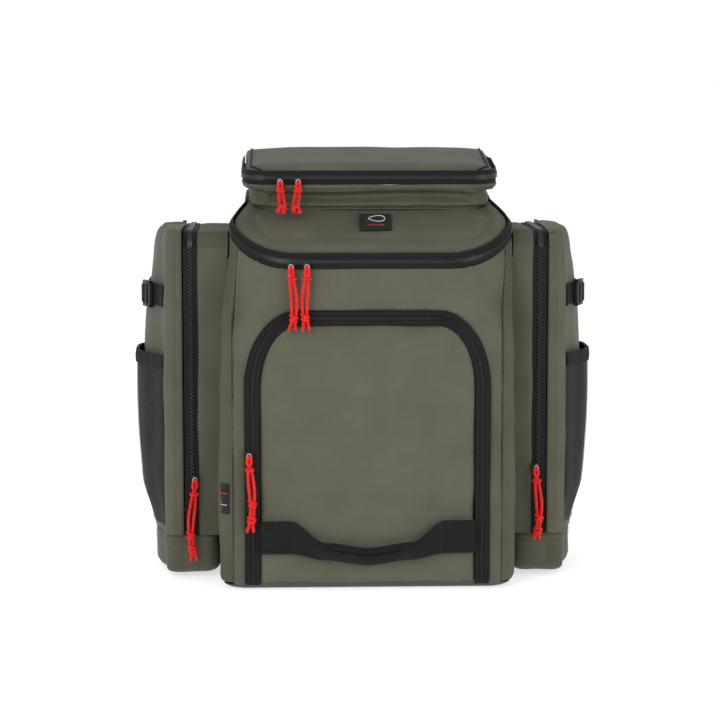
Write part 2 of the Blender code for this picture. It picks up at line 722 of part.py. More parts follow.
# ---- build ---------------------------------------------------------------------------------------
clear_scene()
PACK = bpy.data.collections.new("tackle_backpack")
bpy.context.scene.collection.children.link(PACK)

OLIVE = cloth("olive_cloth", (0.110, 0.108, 0.080))
OLIVE_SHADE = cloth("olive_cloth_side", (0.085, 0.085, 0.062))
COATED = cloth("coated_base", (0.060, 0.060, 0.060), 0.6)
BOARD = cloth("stiff_board", (0.030, 0.030, 0.030), 0.7)
LINING = cloth("lining", (0.050, 0.050, 0.050))
PADDED = cloth("padded_mesh", (0.035, 0.036, 0.035))
NET = cloth("net", (0.020, 0.020, 0.020), 0.8)
WEBBING = cloth("webbing", (0.015, 0.015, 0.015), 0.75)
ZIP_BLACK = cloth("zip_tape", (0.018, 0.018, 0.018), 0.7)
PLASTIC = cloth("moulded_plastic", (0.012, 0.012, 0.012), 0.4)
METAL = cloth("slider_metal", (0.030, 0.030, 0.030), 0.35, 1.0)
RED = cloth("red_cord", (0.700, 0.030, 0.020), 0.8)

build_base()
tapes = build_walls()
build_front_pocket(tapes)
build_lid()
build_top_pocket()
for pocket_side, pocket_word in ((-1, "left"), (1, "right")):
    build_side_pocket(pocket_side, pocket_word)
build_back()
build_pulls()
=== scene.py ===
# %% [markdown]
# # A tackle backpack
# The pack is a soft bag sewn from padded woven cloth: a main body under a D-shaped zipped lid, a small
# zipped pocket on the lid, a zipped front pocket, and a zipped pocket with a net sleeve on each side.
# The frame file already holds its parts, sizes and joints. This script only makes them look real, one
# piece at a time, and lets each piece ride on the body that carries it.

# %% Load the frame
import math

import bmesh
import bpy
from mathutils import Matrix, Vector, noise


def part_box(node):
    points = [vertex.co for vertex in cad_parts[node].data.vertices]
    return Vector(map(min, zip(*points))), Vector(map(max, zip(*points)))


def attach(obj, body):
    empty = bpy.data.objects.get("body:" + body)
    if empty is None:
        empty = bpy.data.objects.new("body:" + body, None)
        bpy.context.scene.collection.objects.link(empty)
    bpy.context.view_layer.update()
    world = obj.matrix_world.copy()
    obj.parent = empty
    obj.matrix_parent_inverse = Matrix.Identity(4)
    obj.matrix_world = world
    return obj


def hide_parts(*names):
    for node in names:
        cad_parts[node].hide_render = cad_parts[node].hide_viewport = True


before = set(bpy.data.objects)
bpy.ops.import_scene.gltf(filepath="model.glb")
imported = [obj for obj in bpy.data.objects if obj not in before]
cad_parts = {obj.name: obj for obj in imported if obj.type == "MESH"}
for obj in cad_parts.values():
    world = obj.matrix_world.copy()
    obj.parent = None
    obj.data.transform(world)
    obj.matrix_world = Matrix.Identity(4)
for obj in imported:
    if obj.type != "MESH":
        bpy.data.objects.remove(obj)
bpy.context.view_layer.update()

# %% [markdown]
# ## The view
# A long lens stands well in front and a little above, and looks slightly down. It stands a little to
# the left of the middle, so that the left side pocket shows more of its side.

# %% Camera
EYE = Vector((-0.098, -2.752, 0.600))
LENS = 114.0
TILT = math.radians(7.363)
YAW = math.radians(2.05)
camera = bpy.data.objects.new("view", bpy.data.cameras.new("view"))
camera.data.lens = LENS
camera.data.sensor_width = 36.0
camera.data.clip_start = 0.05
camera.location = EYE
camera.rotation_euler = (math.pi / 2.0 - TILT, 0.0, -YAW)
bpy.context.scene.collection.objects.link(camera)
bpy.context.scene.camera = camera
bpy.context.scene.view_settings.view_transform = "Standard"
print("camera at", tuple(round(v, 3) for v in EYE))

# %% [markdown]
# ## The pattern
# A bag maker works from a pattern. The sizes below are the pattern's, in metres, and the functions
# turn them into the outline of the body, the rim of the lid, and the lines that the zips follow.

# %% Sizes
HALF_WIDTH, RIM_HALF = 0.1705, 0.1655
LEAN, LEAN_FROM = 0.006, (0.300, 0.400)
FRONT_Y = -0.150
BACK_Y = 0.100
FOOT = 0.0063
FOOT_ROUND = 0.018
RIM_FRONT, RIM_BACK, RIM_BEND = 0.3717, 0.438, 2.5
RIM_TAPER, RIM_TAPER_Y = 0.020, (-0.100, 0.000)
CORNER_LOW, CORNER_HIGH, CORNER_BACK = 0.018, 0.078, 0.020
CORNER_BLEND = (0.280, 0.410)
SEAM_X = 0.155
TAPE_END = 0.90
ZIP_HALF = 0.008
ARCH_X, ARCH_TOP, ARCH_CORNER = 0.1317, 0.3153, (0.052, 0.080)
FRONT_BULGE = 0.006
POCKET_FRONT_Y, POCKET_BACK_Y, POCKET_HALF = -0.0575, 0.092, 0.136
POCKET_FLARE, POCKET_CORNER = 0.013, 0.025
POCKET_RIM, POCKET_SLOPE, POCKET_CROWN = 0.464, 0.125, 0.0075
SIDE_FRONT_Y, SIDE_BACK_Y, SIDE_ZIP_X = -0.084, 0.075, 0.204
SIDE_BASE_TOP, SIDE_TOP, SIDE_FLOOR = 0.052, 0.410, 0.001
SIDE_DEPTH, SIDE_BULGE, SIDE_CORNER = 0.046, 0.012, 0.018
SIDE_FACE, SIDE_ROUND = 0.0215, (0.010, 0.018)
NET_Z, NET_Y, NET_STAND = (0.060, 0.264), (-0.070, 0.056), 0.008
STRAP_Z, STRAP_WIDE = 0.333, 0.025
HANDLE_WIDE, HANDLE_Z = 0.038, 0.0639
HANDLE_END_X, HANDLE_FREE_X = 0.122, 0.089
SEW = 0.0015


# %% Small tools
def mix(first, second, share):
    return first + (second - first) * share


def smooth(low, high, value):
    """0 below low, 1 above high, and an S between."""
    share = min(1.0, max(0.0, (value - low) / (high - low)))
    return share * share * (3.0 - 2.0 * share)


def bump_at(middle, width, value):
    """A soft hump, 1 at the middle and 0 a width away."""
    return max(0.0, 1.0 - ((value - middle) / width) ** 2) ** 2


def ripple(point, size, height, seed=0.0):
    """Soft uneven cloth: a smooth noise of that size and height."""
    return noise.noise(point / size + Vector((seed, 7.3 * seed, 1.7))) * height


# %% Outlines of the body
def foot_inset(z):
    if z >= FOOT_ROUND:
        return 0.0
    return FOOT_ROUND - math.sqrt(FOOT_ROUND ** 2 - (FOOT_ROUND - z) ** 2)


def half_at(z):
    return mix(HALF_WIDTH, RIM_HALF, smooth(0.100, 0.380, z)) - foot_inset(z)


def rear_taper(y):
    return RIM_TAPER * smooth(*RIM_TAPER_Y, y)


def leaned(point, lean=LEAN):
    """The pack's soft top leans a little to one side."""
    return Vector((point.x + lean * smooth(*LEAN_FROM, point.z), point.y, point.z))


def rim_height(y):
    share = min(1.0, max(0.0, (BACK_Y - y) / (BACK_Y - FRONT_Y)))
    return RIM_BACK - (RIM_BACK - RIM_FRONT) * share ** RIM_BEND


def corner_radius(z):
    return mix(CORNER_LOW, CORNER_HIGH, smooth(*CORNER_BLEND, z))


def front_y(x, z):
    radius = corner_radius(z)
    past = max(0.0, abs(x) - (half_at(z) - radius))
    return FRONT_Y + foot_inset(z) + radius - math.sqrt(max(0.0, radius ** 2 - past ** 2))


def body_plan(share, z, start_x=SEAM_X, inward=0.0):
    """The right side's outline at height z, from start_x on the front round to the back."""
    radius = corner_radius(z)
    half = half_at(z)
    low, high = FRONT_Y + foot_inset(z), BACK_Y - foot_inset(z)
    if share < 0.35:
        start = math.asin(max(0.0, min(1.0, (start_x - half + radius) / radius)))
        angle = mix(start, math.pi / 2.0, share / 0.35)
        point = Vector((half - radius + (radius - inward) * math.sin(angle),
                        low + radius - (radius - inward) * math.cos(angle), z))
    elif share < 0.75:
        point = Vector((half - inward, mix(low + radius, high - CORNER_BACK, (share - 0.35) / 0.40), z))
    else:
        angle = (share - 0.75) / 0.25 * math.pi / 2.0
        reach = CORNER_BACK - inward
        point = Vector((half - CORNER_BACK + reach * math.cos(angle),
                        high - CORNER_BACK + reach * math.sin(angle), z))
    point.x -= rear_taper(point.y) * smooth(*CORNER_BLEND, z)
    return point


def rim_plan(share, lift, inward):
    """The rim, lift above it: share -1 is the left back, 0 the front middle, 1 the right back."""
    reach, straight = abs(share), 0.22
    if reach < straight:
        point = Vector(((RIM_HALF - CORNER_HIGH) * reach / straight, FRONT_Y + inward, 0.0))
    else:
        along = (reach - straight) / (1.0 - straight) * TAPE_END
        point = body_plan(along, CORNER_BLEND[1], RIM_HALF - CORNER_HIGH, inward)
    point.z = rim_height(point.y) + lift
    point.x = math.copysign(point.x, share)
    return point


def lid_height(y):
    return rim_height(y) + 2.0 * ZIP_HALF


def lid_half_width(y, inset):
    radius, low = CORNER_HIGH - inset, FRONT_Y + inset
    half = RIM_HALF - inset - rear_taper(y)
    if y < low + radius:
        return half - radius + math.sqrt(max(0.0, radius ** 2 - (low + radius - y) ** 2))
    past = max(0.0, y - BACK_Y + CORNER_BACK)
    return half - CORNER_BACK + math.sqrt(max(0.0, CORNER_BACK ** 2 - past ** 2))


def round_rows(v, low, high, low_round, high_round):
    """A coordinate from low to high whose rows crowd towards the rounded ends."""
    if v < 0.3 and low_round > 0.0:
        return low + low_round * (1.0 - math.cos(v / 0.3 * math.pi / 2.0))
    if v > 0.7 and high_round > 0.0:
        return high - high_round * (1.0 - math.cos((1.0 - v) / 0.3 * math.pi / 2.0))
    start = 0.3 if low_round > 0.0 else 0.0
    stop = 0.7 if high_round > 0.0 else 1.0
    return mix(low + low_round, high - high_round, (v - start) / (stop - start))


# %% Lines of the front, top and side pockets
def zip_arch(share, offset):
    """The front pocket's zip (x, z), offset outwards from its middle line, left foot to right foot."""
    half, top = ARCH_X + offset, ARCH_TOP + offset
    round_x, round_z = ARCH_CORNER[0] + offset, ARCH_CORNER[1] + offset
    reach = min(share, 1.0 - share) * 2.0
    if reach < 0.4:
        x, z = half, mix(FOOT, top - round_z, reach / 0.4)
    elif reach < 0.75:
        angle = (reach - 0.4) / 0.35 * math.pi / 2.0
        x, z = half - round_x + round_x * math.cos(angle), top - round_z + round_z * math.sin(angle)
    else:
        x, z = (half - round_x) * (1.0 - (reach - 0.75) / 0.25), top
    return (-x if share < 0.5 else x), z


def pocket_ring(share, grow):
    """The top pocket's outline (x, y): share -1 is the left back, 0 the front middle."""
    half, low, corner = POCKET_HALF + grow, POCKET_FRONT_Y - grow / 2.0, POCKET_CORNER
    reach = abs(share)
    if reach < 0.4:
        x, y = (half - corner) * reach / 0.4, low
    elif reach < 0.65:
        angle = (reach - 0.4) / 0.25 * math.pi / 2.0
        x, y = half - corner + corner * math.sin(angle), low + corner - corner * math.cos(angle)
    else:
        x, y = half, mix(low + corner, POCKET_BACK_Y - 0.0043, (reach - 0.65) / 0.35)
    return math.copysign(x, share), y


def pocket_edge(y):
    return POCKET_RIM + POCKET_SLOPE * (y - POCKET_FRONT_Y)


def gusset_point(share, x, inward=0.0):
    """The arch that a side pocket's strip follows, from the front foot over the top to the back."""
    half = (SIDE_BACK_Y - SIDE_FRONT_Y) / 2.0 - inward
    middle = (SIDE_FRONT_Y + SIDE_BACK_Y) / 2.0
    top = SIDE_TOP - inward
    reach = min(share, 1.0 - share) * 2.0
    if reach < 0.5:
        y, z = half, mix(SIDE_BASE_TOP + 0.0003, top - SIDE_CORNER, reach / 0.5)
    elif reach < 0.75:
        angle = (reach - 0.5) / 0.25 * math.pi / 2.0
        y = half - SIDE_CORNER + SIDE_CORNER * math.cos(angle)
        z = top - SIDE_CORNER + SIDE_CORNER * math.sin(angle)
    else:
        y, z = (half - SIDE_CORNER) * (1.0 - (reach - 0.75) / 0.25), top
    return Vector((x, middle + (y if share > 0.5 else -y), z))


def door_side(y, depth):
    """How far the outer side stands out: straight at its front edge, slanting out to its full depth."""
    return mix(SIDE_FACE, depth, smooth(SIDE_FRONT_Y, 0.000, y))


def door_depth(climb):
    return SIDE_DEPTH - ZIP_HALF - SEW + SIDE_BULGE * math.sin(math.pi * climb)


def door_plan(u, depth):
    """The door's outline at one height: (out, y), u from the front zip round to the back zip."""
    front, back = SIDE_ROUND
    if u < 0.15:
        return mix(0.0, SIDE_FACE - front, u / 0.15), SIDE_FRONT_Y
    if u < 0.30:
        angle = (u - 0.15) / 0.15 * math.pi / 2.0
        return SIDE_FACE - front + front * math.sin(angle), SIDE_FRONT_Y + front * (1.0 - math.cos(angle))
    if u < 0.75:
        y = mix(SIDE_FRONT_Y + front, SIDE_BACK_Y - back, (u - 0.30) / 0.45)
        return mix(SIDE_FACE, door_side(y, depth), smooth(0.30, 0.45, u)), y
    if u < 0.90:
        angle = (u - 0.75) / 0.15 * math.pi / 2.0
        return depth - back + back * math.cos(angle), SIDE_BACK_Y - back * (1.0 - math.sin(angle))
    return mix(depth - back, 0.0, (u - 0.90) / 0.10), SIDE_BACK_Y


def door_point(u, v):
    """The right side pocket's door: u from the front zip round to the back zip, v from the seam up."""
    climb = math.sin(v * math.pi / 2.0) ** 0.75
    fall = max(0.0, math.cos(v * math.pi / 2.0)) ** 0.16
    out, y = door_plan(u, door_depth(climb))
    return Vector((SIDE_ZIP_X + ZIP_HALF + SEW + out * fall, y,
                   mix(SIDE_BASE_TOP + 0.0003, SIDE_TOP, climb)))


def door_out(y, z):
    """How far out the right door's cloth is at a place on its outer side."""
    front, back = SIDE_ROUND
    climb = min(1.0, max(0.0, (z - SIDE_BASE_TOP) / (SIDE_TOP - SIDE_BASE_TOP)))
    fall = max(0.0, 1.0 - climb ** (2.0 / 0.75)) ** 0.08
    share = (y - SIDE_FRONT_Y - front) / (SIDE_BACK_Y - back - SIDE_FRONT_Y - front)
    out = mix(SIDE_FACE, door_side(y, door_depth(climb)), smooth(0.0, 1.0 / 3.0, share))
    past = max(0.0, y - SIDE_BACK_Y + back)
    out -= back - math.sqrt(max(0.0, back ** 2 - past ** 2))
    return SIDE_ZIP_X + ZIP_HALF + SEW + out * fall


print("pattern:", round(2.0 * HALF_WIDTH, 3), "m wide,", round(BACK_Y - FRONT_Y, 3), "m deep")


# %% [markdown]
# ## Finishes
# The cloth is a heavy plain weave with a soft sheen. Its thread pattern follows the panel, so each
# panel carries a UV map in metres, and the weave is two sets of fine waves on it. Cloudy noise makes
# the colour uneven, as it is on dyed cloth. The same idea, with other sizes, makes webbing and tape.

# %% Colour and node helpers
def paint(red, green, blue):
    """A colour as a dyer's chart gives it, 0 to 255, turned into light."""
    def light(value):
        share = value / 255.0
        return share / 12.92 if share <= 0.04045 else ((share + 0.055) / 1.055) ** 2.4
    return (light(red), light(green), light(blue), 1.0)


def new_finish(name, colour, roughness, metallic=0.0, sheen=0.0, specular=0.5):
    made = bpy.data.materials.new(name)
    made.use_nodes = True
    shader = made.node_tree.nodes["Principled BSDF"]
    shader.inputs["Base Color"].default_value = colour
    shader.inputs["Roughness"].default_value = roughness
    shader.inputs["Metallic"].default_value = metallic
    shader.inputs["Specular IOR Level"].default_value = specular
    shader.inputs["Sheen Weight"].default_value = sheen
    shader.inputs["Sheen Roughness"].default_value = 0.4
    return made, made.node_tree, shader


def joined(tree, kind, links, **settings):
    """A node of that kind, with its settings, whose inputs come from the links given by socket name."""
    node = tree.nodes.new(kind)
    for key, value in settings.items():
        setattr(node, key, value)
    for socket, source in links.items():
        if isinstance(source, bpy.types.NodeSocket):
            tree.links.new(source, node.inputs[socket])
        else:
            node.inputs[socket].default_value = source
    return node


def place_of(tree, mapped):
    node = tree.nodes.new("ShaderNodeTexCoord")
    return node.outputs["UV" if mapped else "Object"]


def cloudy(tree, shader, light, dark, size):
    """Colour that drifts between two close tones."""
    place = place_of(tree, False)
    cloud = joined(tree, "ShaderNodeTexNoise", {"Vector": place, "Scale": 1.0 / size, "Detail": 3.0,
                                                "Roughness": 0.6})
    ramp = joined(tree, "ShaderNodeValToRGB", {"Fac": cloud.outputs["Fac"]})
    ramp.color_ramp.elements[0].position = 0.30
    ramp.color_ramp.elements[1].position = 0.70
    ramp.color_ramp.elements[0].color = dark
    ramp.color_ramp.elements[1].color = light
    tree.links.new(ramp.outputs["Color"], shader.inputs["Base Color"])
    return ramp


def threads(tree, mapped, across, along):
    """The height of a plain weave: two sets of waves, one each way, with that spacing in metres."""
    place = place_of(tree, mapped)
    first = joined(tree, "ShaderNodeTexWave", {"Vector": place, "Scale": 0.314 / across, "Distortion": 0.6,
                                               "Detail": 1.0}, wave_type="BANDS", bands_direction="X")
    second = joined(tree, "ShaderNodeTexWave", {"Vector": place, "Scale": 0.314 / along, "Distortion": 0.6,
                                                "Detail": 1.0}, wave_type="BANDS", bands_direction="Y")
    both = joined(tree, "ShaderNodeMath", {0: first.outputs["Fac"], 1: second.outputs["Fac"]},
                  operation="ADD")
    return both.outputs["Value"]


def raised(tree, shader, height, distance, strength=1.0, under=None):
    links = {"Height": height, "Distance": distance, "Strength": strength}
    if under is not None:
        links["Normal"] = under
    node = joined(tree, "ShaderNodeBump", links)
    tree.links.new(node.outputs["Normal"], shader.inputs["Normal"])
    return node.outputs["Normal"]


def woven(name, light, dark, roughness, thread=0.0008, depth=0.00012, sheen=0.04, cloud=0.05,
          creases=0.0009, specular=0.22):
    """A woven cloth: cloudy colour, soft creases, and threads on its UV map."""
    made, tree, shader = new_finish(name, light, roughness, sheen=sheen, specular=specular)
    cloudy(tree, shader, light, dark, cloud)
    crumple = joined(tree, "ShaderNodeTexNoise", {"Vector": place_of(tree, False), "Scale": 28.0,
                                                  "Detail": 4.0, "Roughness": 0.55, "Distortion": 0.4})
    soft = raised(tree, shader, crumple.outputs["Fac"], creases, 0.55)
    raised(tree, shader, threads(tree, True, thread, thread), depth, 0.8, soft)
    return made


# %% The finishes
OLIVE = woven("olive_cloth", paint(86, 86, 72), paint(77, 77, 64), 0.55)
# The second olive is the same cloth made darker, for the sides, back, top pocket walls, side strips and cups
# that sit in shade: its darker tone is painted shade.
OLIVE_PAINTED_SHADE = woven("olive_cloth_side", paint(80, 80, 66), paint(71, 71, 58), 0.58)
LINING = woven("grey_lining", paint(66, 66, 65), paint(58, 58, 57), 0.75, cloud=0.08)
COATED = woven("coated_base", paint(72, 72, 71), paint(62, 62, 61), 0.50, thread=0.0012, sheen=0.0)
WEBBING = woven("webbing", paint(18, 18, 18), paint(13, 13, 13), 0.74, thread=0.0016, depth=0.0003,
                cloud=0.02, creases=0.0002)
TAPE = woven("zip_tape", paint(18, 18, 19), paint(13, 13, 14), 0.68, thread=0.0012, depth=0.0002,
             cloud=0.02, creases=0.0001)
BINDING = woven("elastic_binding", paint(31, 31, 31), paint(25, 25, 25), 0.72, thread=0.0018,
                depth=0.0004, cloud=0.02, creases=0.0002)
AIR_MESH = woven("air_mesh", paint(36, 36, 36), paint(27, 27, 27), 0.80, thread=0.0030, depth=0.0008,
                 cloud=0.03)
NET_BACK = woven("net_back", paint(26, 27, 27), paint(18, 19, 19), 0.75, thread=0.0022, depth=0.0005,
                 cloud=0.05)
NET = woven("net_yarn", paint(60, 61, 61), paint(48, 49, 49), 0.70, thread=0.0006, cloud=0.04)


def flecked(name, light, dark, roughness, metallic=0.0, size=0.0006, depth=0.00005):
    """Moulded or plated surfaces: a fine grain, and a slightly uneven colour."""
    made, tree, shader = new_finish(name, light, roughness, metallic, specular=0.35)
    cloudy(tree, shader, light, dark, 0.006)
    grain = joined(tree, "ShaderNodeTexNoise", {"Vector": place_of(tree, False), "Scale": 1.0 / size,
                                                "Detail": 2.0})
    raised(tree, shader, grain.outputs["Fac"], depth, 0.6)
    return made


TEETH = flecked("zip_teeth", paint(34, 34, 35), paint(26, 26, 27), 0.36)
PLASTIC = flecked("moulded_plastic", paint(26, 26, 27), paint(20, 20, 21), 0.42)
ENAMEL = flecked("black_enamel", paint(24, 24, 25), paint(17, 17, 18), 0.30, 0.3)
WIRE = flecked("bright_wire", paint(190, 190, 192), paint(160, 160, 162), 0.28, 1.0)
BOARD = flecked("stiff_board", paint(60, 60, 60), paint(52, 52, 52), 0.70)
THREAD_OLIVE = flecked("olive_thread", paint(128, 126, 110), paint(112, 110, 96), 0.75)
BADGE = woven("badge_cloth", paint(26, 26, 28), paint(20, 20, 22), 0.55, thread=0.0005, cloud=0.01,
              creases=0.0001)
BADGE_LIGHT = flecked("badge_thread", paint(205, 204, 200), paint(180, 180, 176), 0.70)
BADGE_RED = flecked("badge_red_thread", paint(190, 44, 36), paint(160, 34, 28), 0.70)


def braided():
    """Red cord: the crossed strands of a braid show as a fine ripple along and round it."""
    light, dark = paint(226, 26, 18), paint(200, 16, 12)
    made, tree, shader = new_finish("red_cord", light, 0.62, sheen=0.10, specular=0.2)
    cloudy(tree, shader, light, dark, 0.004)
    raised(tree, shader, threads(tree, False, 0.0011, 0.0011), 0.0002, 0.8)
    return made


RED = braided()
print("finishes:", len(bpy.data.materials))


# %% [markdown]
# ## Cutting and hanging a panel
# Every cloth panel starts as a flat grid, as cloth does on a cutting table. Each point of the grid is
# then laid on the pattern's surface, pushed out or in by a relief that makes the puff, folds and
# rolled edges, and the sheet gets its thickness last, from Solidify. Both sides show the outer cloth:
# the lining has a slot on each panel, but no face uses it yet.

# %% Panel helper
def finished(name, mesh, finishes, body, stands_for=(), sharp=50.0):
    """An object from a mesh, in its finishes, that rides on a body."""
    for finish in finishes:
        mesh.materials.append(finish)
    mesh.shade_smooth()
    mesh.set_sharp_from_angle(angle=math.radians(sharp))
    thing = bpy.data.objects.new(name, mesh)
    bpy.context.scene.collection.objects.link(thing)
    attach(thing, body)
    if stands_for:
        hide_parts(*stands_for)
    return thing


def settled(thing):
    """The mesh that an object's modifiers make."""
    depsgraph = bpy.context.evaluated_depsgraph_get()
    depsgraph.update()
    return bpy.data.meshes.new_from_object(thing.evaluated_get(depsgraph))


def length_of(line):
    return sum((second - first).length for first, second in zip(line, line[1:]))


def panel(name, surface, columns, rows, wall, finishes, body, stands_for=(), relief=None, ring=False,
          lean=LEAN, sharp=50.0):
    """A sheet of cloth laid on surface(u, v), u to the right and v up as seen from outside."""
    work = bmesh.new()
    chart = work.loops.layers.uv.new("weave")
    bmesh.ops.create_grid(work, x_segments=columns, y_segments=rows, size=0.5, calc_uvs=True)
    wide = length_of([surface(i / 24.0, 0.5) for i in range(25)])
    tall = length_of([surface(0.5, i / 24.0) for i in range(25)])
    for face in work.faces:
        for corner in face.loops:
            corner[chart].uv = ((corner.vert.co.x + 0.5) * wide, (corner.vert.co.y + 0.5) * tall)
    flat = {vert: (vert.co.x + 0.5, vert.co.y + 0.5) for vert in work.verts}
    for vert, (u, v) in flat.items():
        vert.co = surface(u, v)
    if relief:
        work.normal_update()
        pushed = [(vert, vert.co + vert.normal * relief(u, v, vert.co)) for vert, (u, v) in flat.items()]
        for vert, place in pushed:
            vert.co = place
    for vert in work.verts:
        vert.co = leaned(vert.co, lean)
    if ring:
        bmesh.ops.remove_doubles(work, verts=work.verts, dist=0.0001)
    mesh = bpy.data.meshes.new(name)
    work.to_mesh(mesh)
    work.free()
    draft = bpy.data.objects.new(name + "_draft", mesh)
    bpy.context.scene.collection.objects.link(draft)
    solid = draft.modifiers.new("wall", "SOLIDIFY")
    solid.thickness = wall
    solid.offset = -1.0
    made = settled(draft)
    bpy.data.objects.remove(draft, do_unlink=True)
    return finished(name, made, finishes, body, stands_for, sharp)


def on_side(surface, side):
    """The right-hand surface for side +1, and its mirror image, still facing out, for side -1."""
    if side > 0:
        return surface

    def mirrored(u, v):
        point = surface(1.0 - u, v)
        return Vector((-point.x, point.y, point.z))
    return mirrored


def rolled(u, v, width_u, width_v, depth, sides="lrbt"):
    """An edge that rolls down towards its seam: 0 inside, -depth at the edge."""
    fall = 0.0
    for mark, value, width in (("l", u, width_u), ("r", 1.0 - u, width_u), ("b", v, width_v),
                               ("t", 1.0 - v, width_v)):
        if mark in sides and value < width:
            share = 1.0 - value / width
            fall = max(fall, 1.0 - math.sqrt(max(0.0, 1.0 - share * share)))
    return -depth * fall


SIDES = ((-1, "left"), (1, "right"))


# %% Thread, piping and cord helpers
def laid(surface, relief, u, v, lift=0.0):
    """A point on a panel's cloth, lifted off it."""
    here = surface(u, v)
    across = surface(min(1.0, u + 0.002), v) - surface(max(0.0, u - 0.002), v)
    climb = surface(u, min(1.0, v + 0.002)) - surface(u, max(0.0, v - 0.002))
    return here + across.cross(climb).normalized() * ((relief(u, v, here) if relief else 0.0) + lift)


def made_from(name, work, finishes, body, stands_for=(), sharp=50.0):
    """An object from a bmesh, which is used up."""
    bmesh.ops.recalc_face_normals(work, faces=work.faces)
    mesh = bpy.data.meshes.new(name)
    work.to_mesh(mesh)
    work.free()
    return finished(name, mesh, finishes, body, stands_for, sharp)


def tube(work, line, radius, sides=8, closed=False):
    """A round tube of that radius, or of the radius that radius(share) gives, along a line."""
    count, total, gone = len(line), length_of(line), 0.0
    rings, up = [], Vector((0.0, 1.0, 0.0))
    for number, here in enumerate(line):
        if number:
            gone += (here - line[number - 1]).length
        after = line[(number + 1) % count] if closed else line[min(number + 1, count - 1)]
        before = line[number - 1] if closed or number else line[0]
        along = (after - before).normalized()
        across = along.cross(up)
        if across.length < 0.1:
            across = along.cross(Vector((1.0, 0.0, 0.0)))
        across.normalize()
        up = across.cross(along).normalized()
        size = radius(gone / total) if callable(radius) else radius
        turns = [2.0 * math.pi * k / sides for k in range(sides)]
        rings.append([work.verts.new(here + (across * math.cos(a) + up * math.sin(a)) * size) for a in turns])
    for first, second in list(zip(rings, rings[1:])) + ([(rings[-1], rings[0])] if closed else []):
        for k in range(sides):
            work.faces.new((first[k], first[(k + 1) % sides], second[(k + 1) % sides], second[k]))
    if not closed:
        work.faces.new(rings[0])
        work.faces.new(rings[-1])


def stitches(name, lines, finish, body, lean=0.0, pitch=0.0036, size=(0.0025, 0.0006)):
    """Rows of thread, one small grain for each stitch, along lines of points."""
    work = bmesh.new()
    for line in lines:
        line = [leaned(point, lean) for point in line]
        total, gone, number = length_of(line), 0.0, 0
        for first, second in zip(line, line[1:]):
            step = (second - first).length
            while step > 0.0 and (number + 0.5) * pitch < gone + step and number < int(total / pitch):
                here = first.lerp(second, ((number + 0.5) * pitch - gone) / step)
                grain = bmesh.ops.create_uvsphere(work, u_segments=6, v_segments=4, radius=0.5)["verts"]
                turn = (second - first).normalized().to_track_quat("Z", "Y").to_matrix().to_4x4()
                shape = Matrix.Diagonal((size[1], size[1], size[0], 1.0))
                bmesh.ops.transform(work, matrix=Matrix.Translation(here) @ turn @ shape, verts=grain)
                number += 1
            gone += step
    return made_from(name, work, (finish,), body)


def piping(name, line, radius, finish, body, lean=0.0):
    """A round edge of cloth over a cord, along a line."""
    work = bmesh.new()
    tube(work, [leaned(point, lean) for point in line], radius, 10)
    return made_from(name, work, (finish,), body)


# %% [markdown]
# ## The main body
# The front is one piece of cloth with an arch cut out of it for the front pocket. Its rim rises at the
# corners, where the body turns, and it is padded, so it swells a little between its seams. The side
# cloth starts at a seam just inside each front corner and runs round to the back.

# %% Front, sides and back
def front_cloth(u, v):
    x_in, z_in = zip_arch(1.0 - u, ZIP_HALF + 0.0003)
    reach = min(u, 1.0 - u) * 2.0
    edge = SEAM_X - 0.0003
    side = 1.0 if u < 0.5 else -1.0
    low = ARCH_TOP - ARCH_CORNER[1]
    if reach < 0.4:
        x_out, z_out = edge, z_in
    elif reach < 0.6:
        x_out = edge
        z_out = mix(low, rim_height(front_y(edge, RIM_FRONT + 0.02)), (reach - 0.4) / 0.2)
    else:
        x_out = edge * (1.0 - (reach - 0.6) / 0.4)
        z_out = rim_height(front_y(x_out, RIM_FRONT + 0.02))
    x, z = mix(side * x_out, x_in, v), mix(z_out, z_in, v)
    return Vector((x, front_y(x, z), z))


def front_relief(u, v, point):
    reach = min(u, 1.0 - u) * 2.0
    width = 0.5 if reach < 0.45 else 0.14
    swell = 0.0016 * bump_at(0.5, 0.5, v)
    fold = 0.0022 * bump_at(0.0, 0.020, abs(point.x) + 0.55 * (point.z - 0.330) - 0.150)
    pucker = 0.0007 * bump_at(SEAM_X, 0.012, abs(point.x)) * math.sin(point.z * 520.0)
    seam = 0.0007 * bump_at(0.0, 0.05, v)
    return (rolled(u, v, 0.001, width * 0.5, 0.0022, "t") + swell - fold + pucker - seam
            + ripple(point, 0.055, 0.0022) + ripple(point, 0.022, 0.0009, 2.0))


panel("front_cloth", front_cloth, 260, 26, 0.0035, (OLIVE, LINING), "pack", ("front_surround",),
      front_relief)


def side_cloth(u, v):
    point = body_plan(u, FOOT)
    for _ in range(4):
        point = body_plan(u, mix(FOOT, rim_height(point.y), v))
    return point


def side_relief(u, v, point):
    return (rolled(u, v, 0.02, 0.012, 0.0024, "tb") + ripple(point, 0.06, 0.0022, 4.0)
            + ripple(point, 0.024, 0.0008, 5.0) + 0.0012 * bump_at(0.5, 0.5, v))


for side, word in SIDES:
    panel("side_cloth_" + word, on_side(side_cloth, side), 90, 110, 0.0035, (OLIVE_PAINTED_SHADE, LINING), "pack",
          ("side_panel_" + word,), side_relief)


def back_cloth(u, v):
    z = mix(FOOT, lid_height(BACK_Y) - 0.0055, v)
    half = half_at(z) - CORNER_BACK - RIM_TAPER * smooth(*CORNER_BLEND, z) - 0.0006
    return Vector((mix(half, -half, u), BACK_Y - foot_inset(z), z))


panel("back_cloth", back_cloth, 80, 110, 0.0035, (OLIVE_PAINTED_SHADE, LINING), "pack", ("back_panel",),
      lambda u, v, point: rolled(u, v, 0.012, 0.01, 0.0020) + ripple(point, 0.05, 0.0016, 6.0))


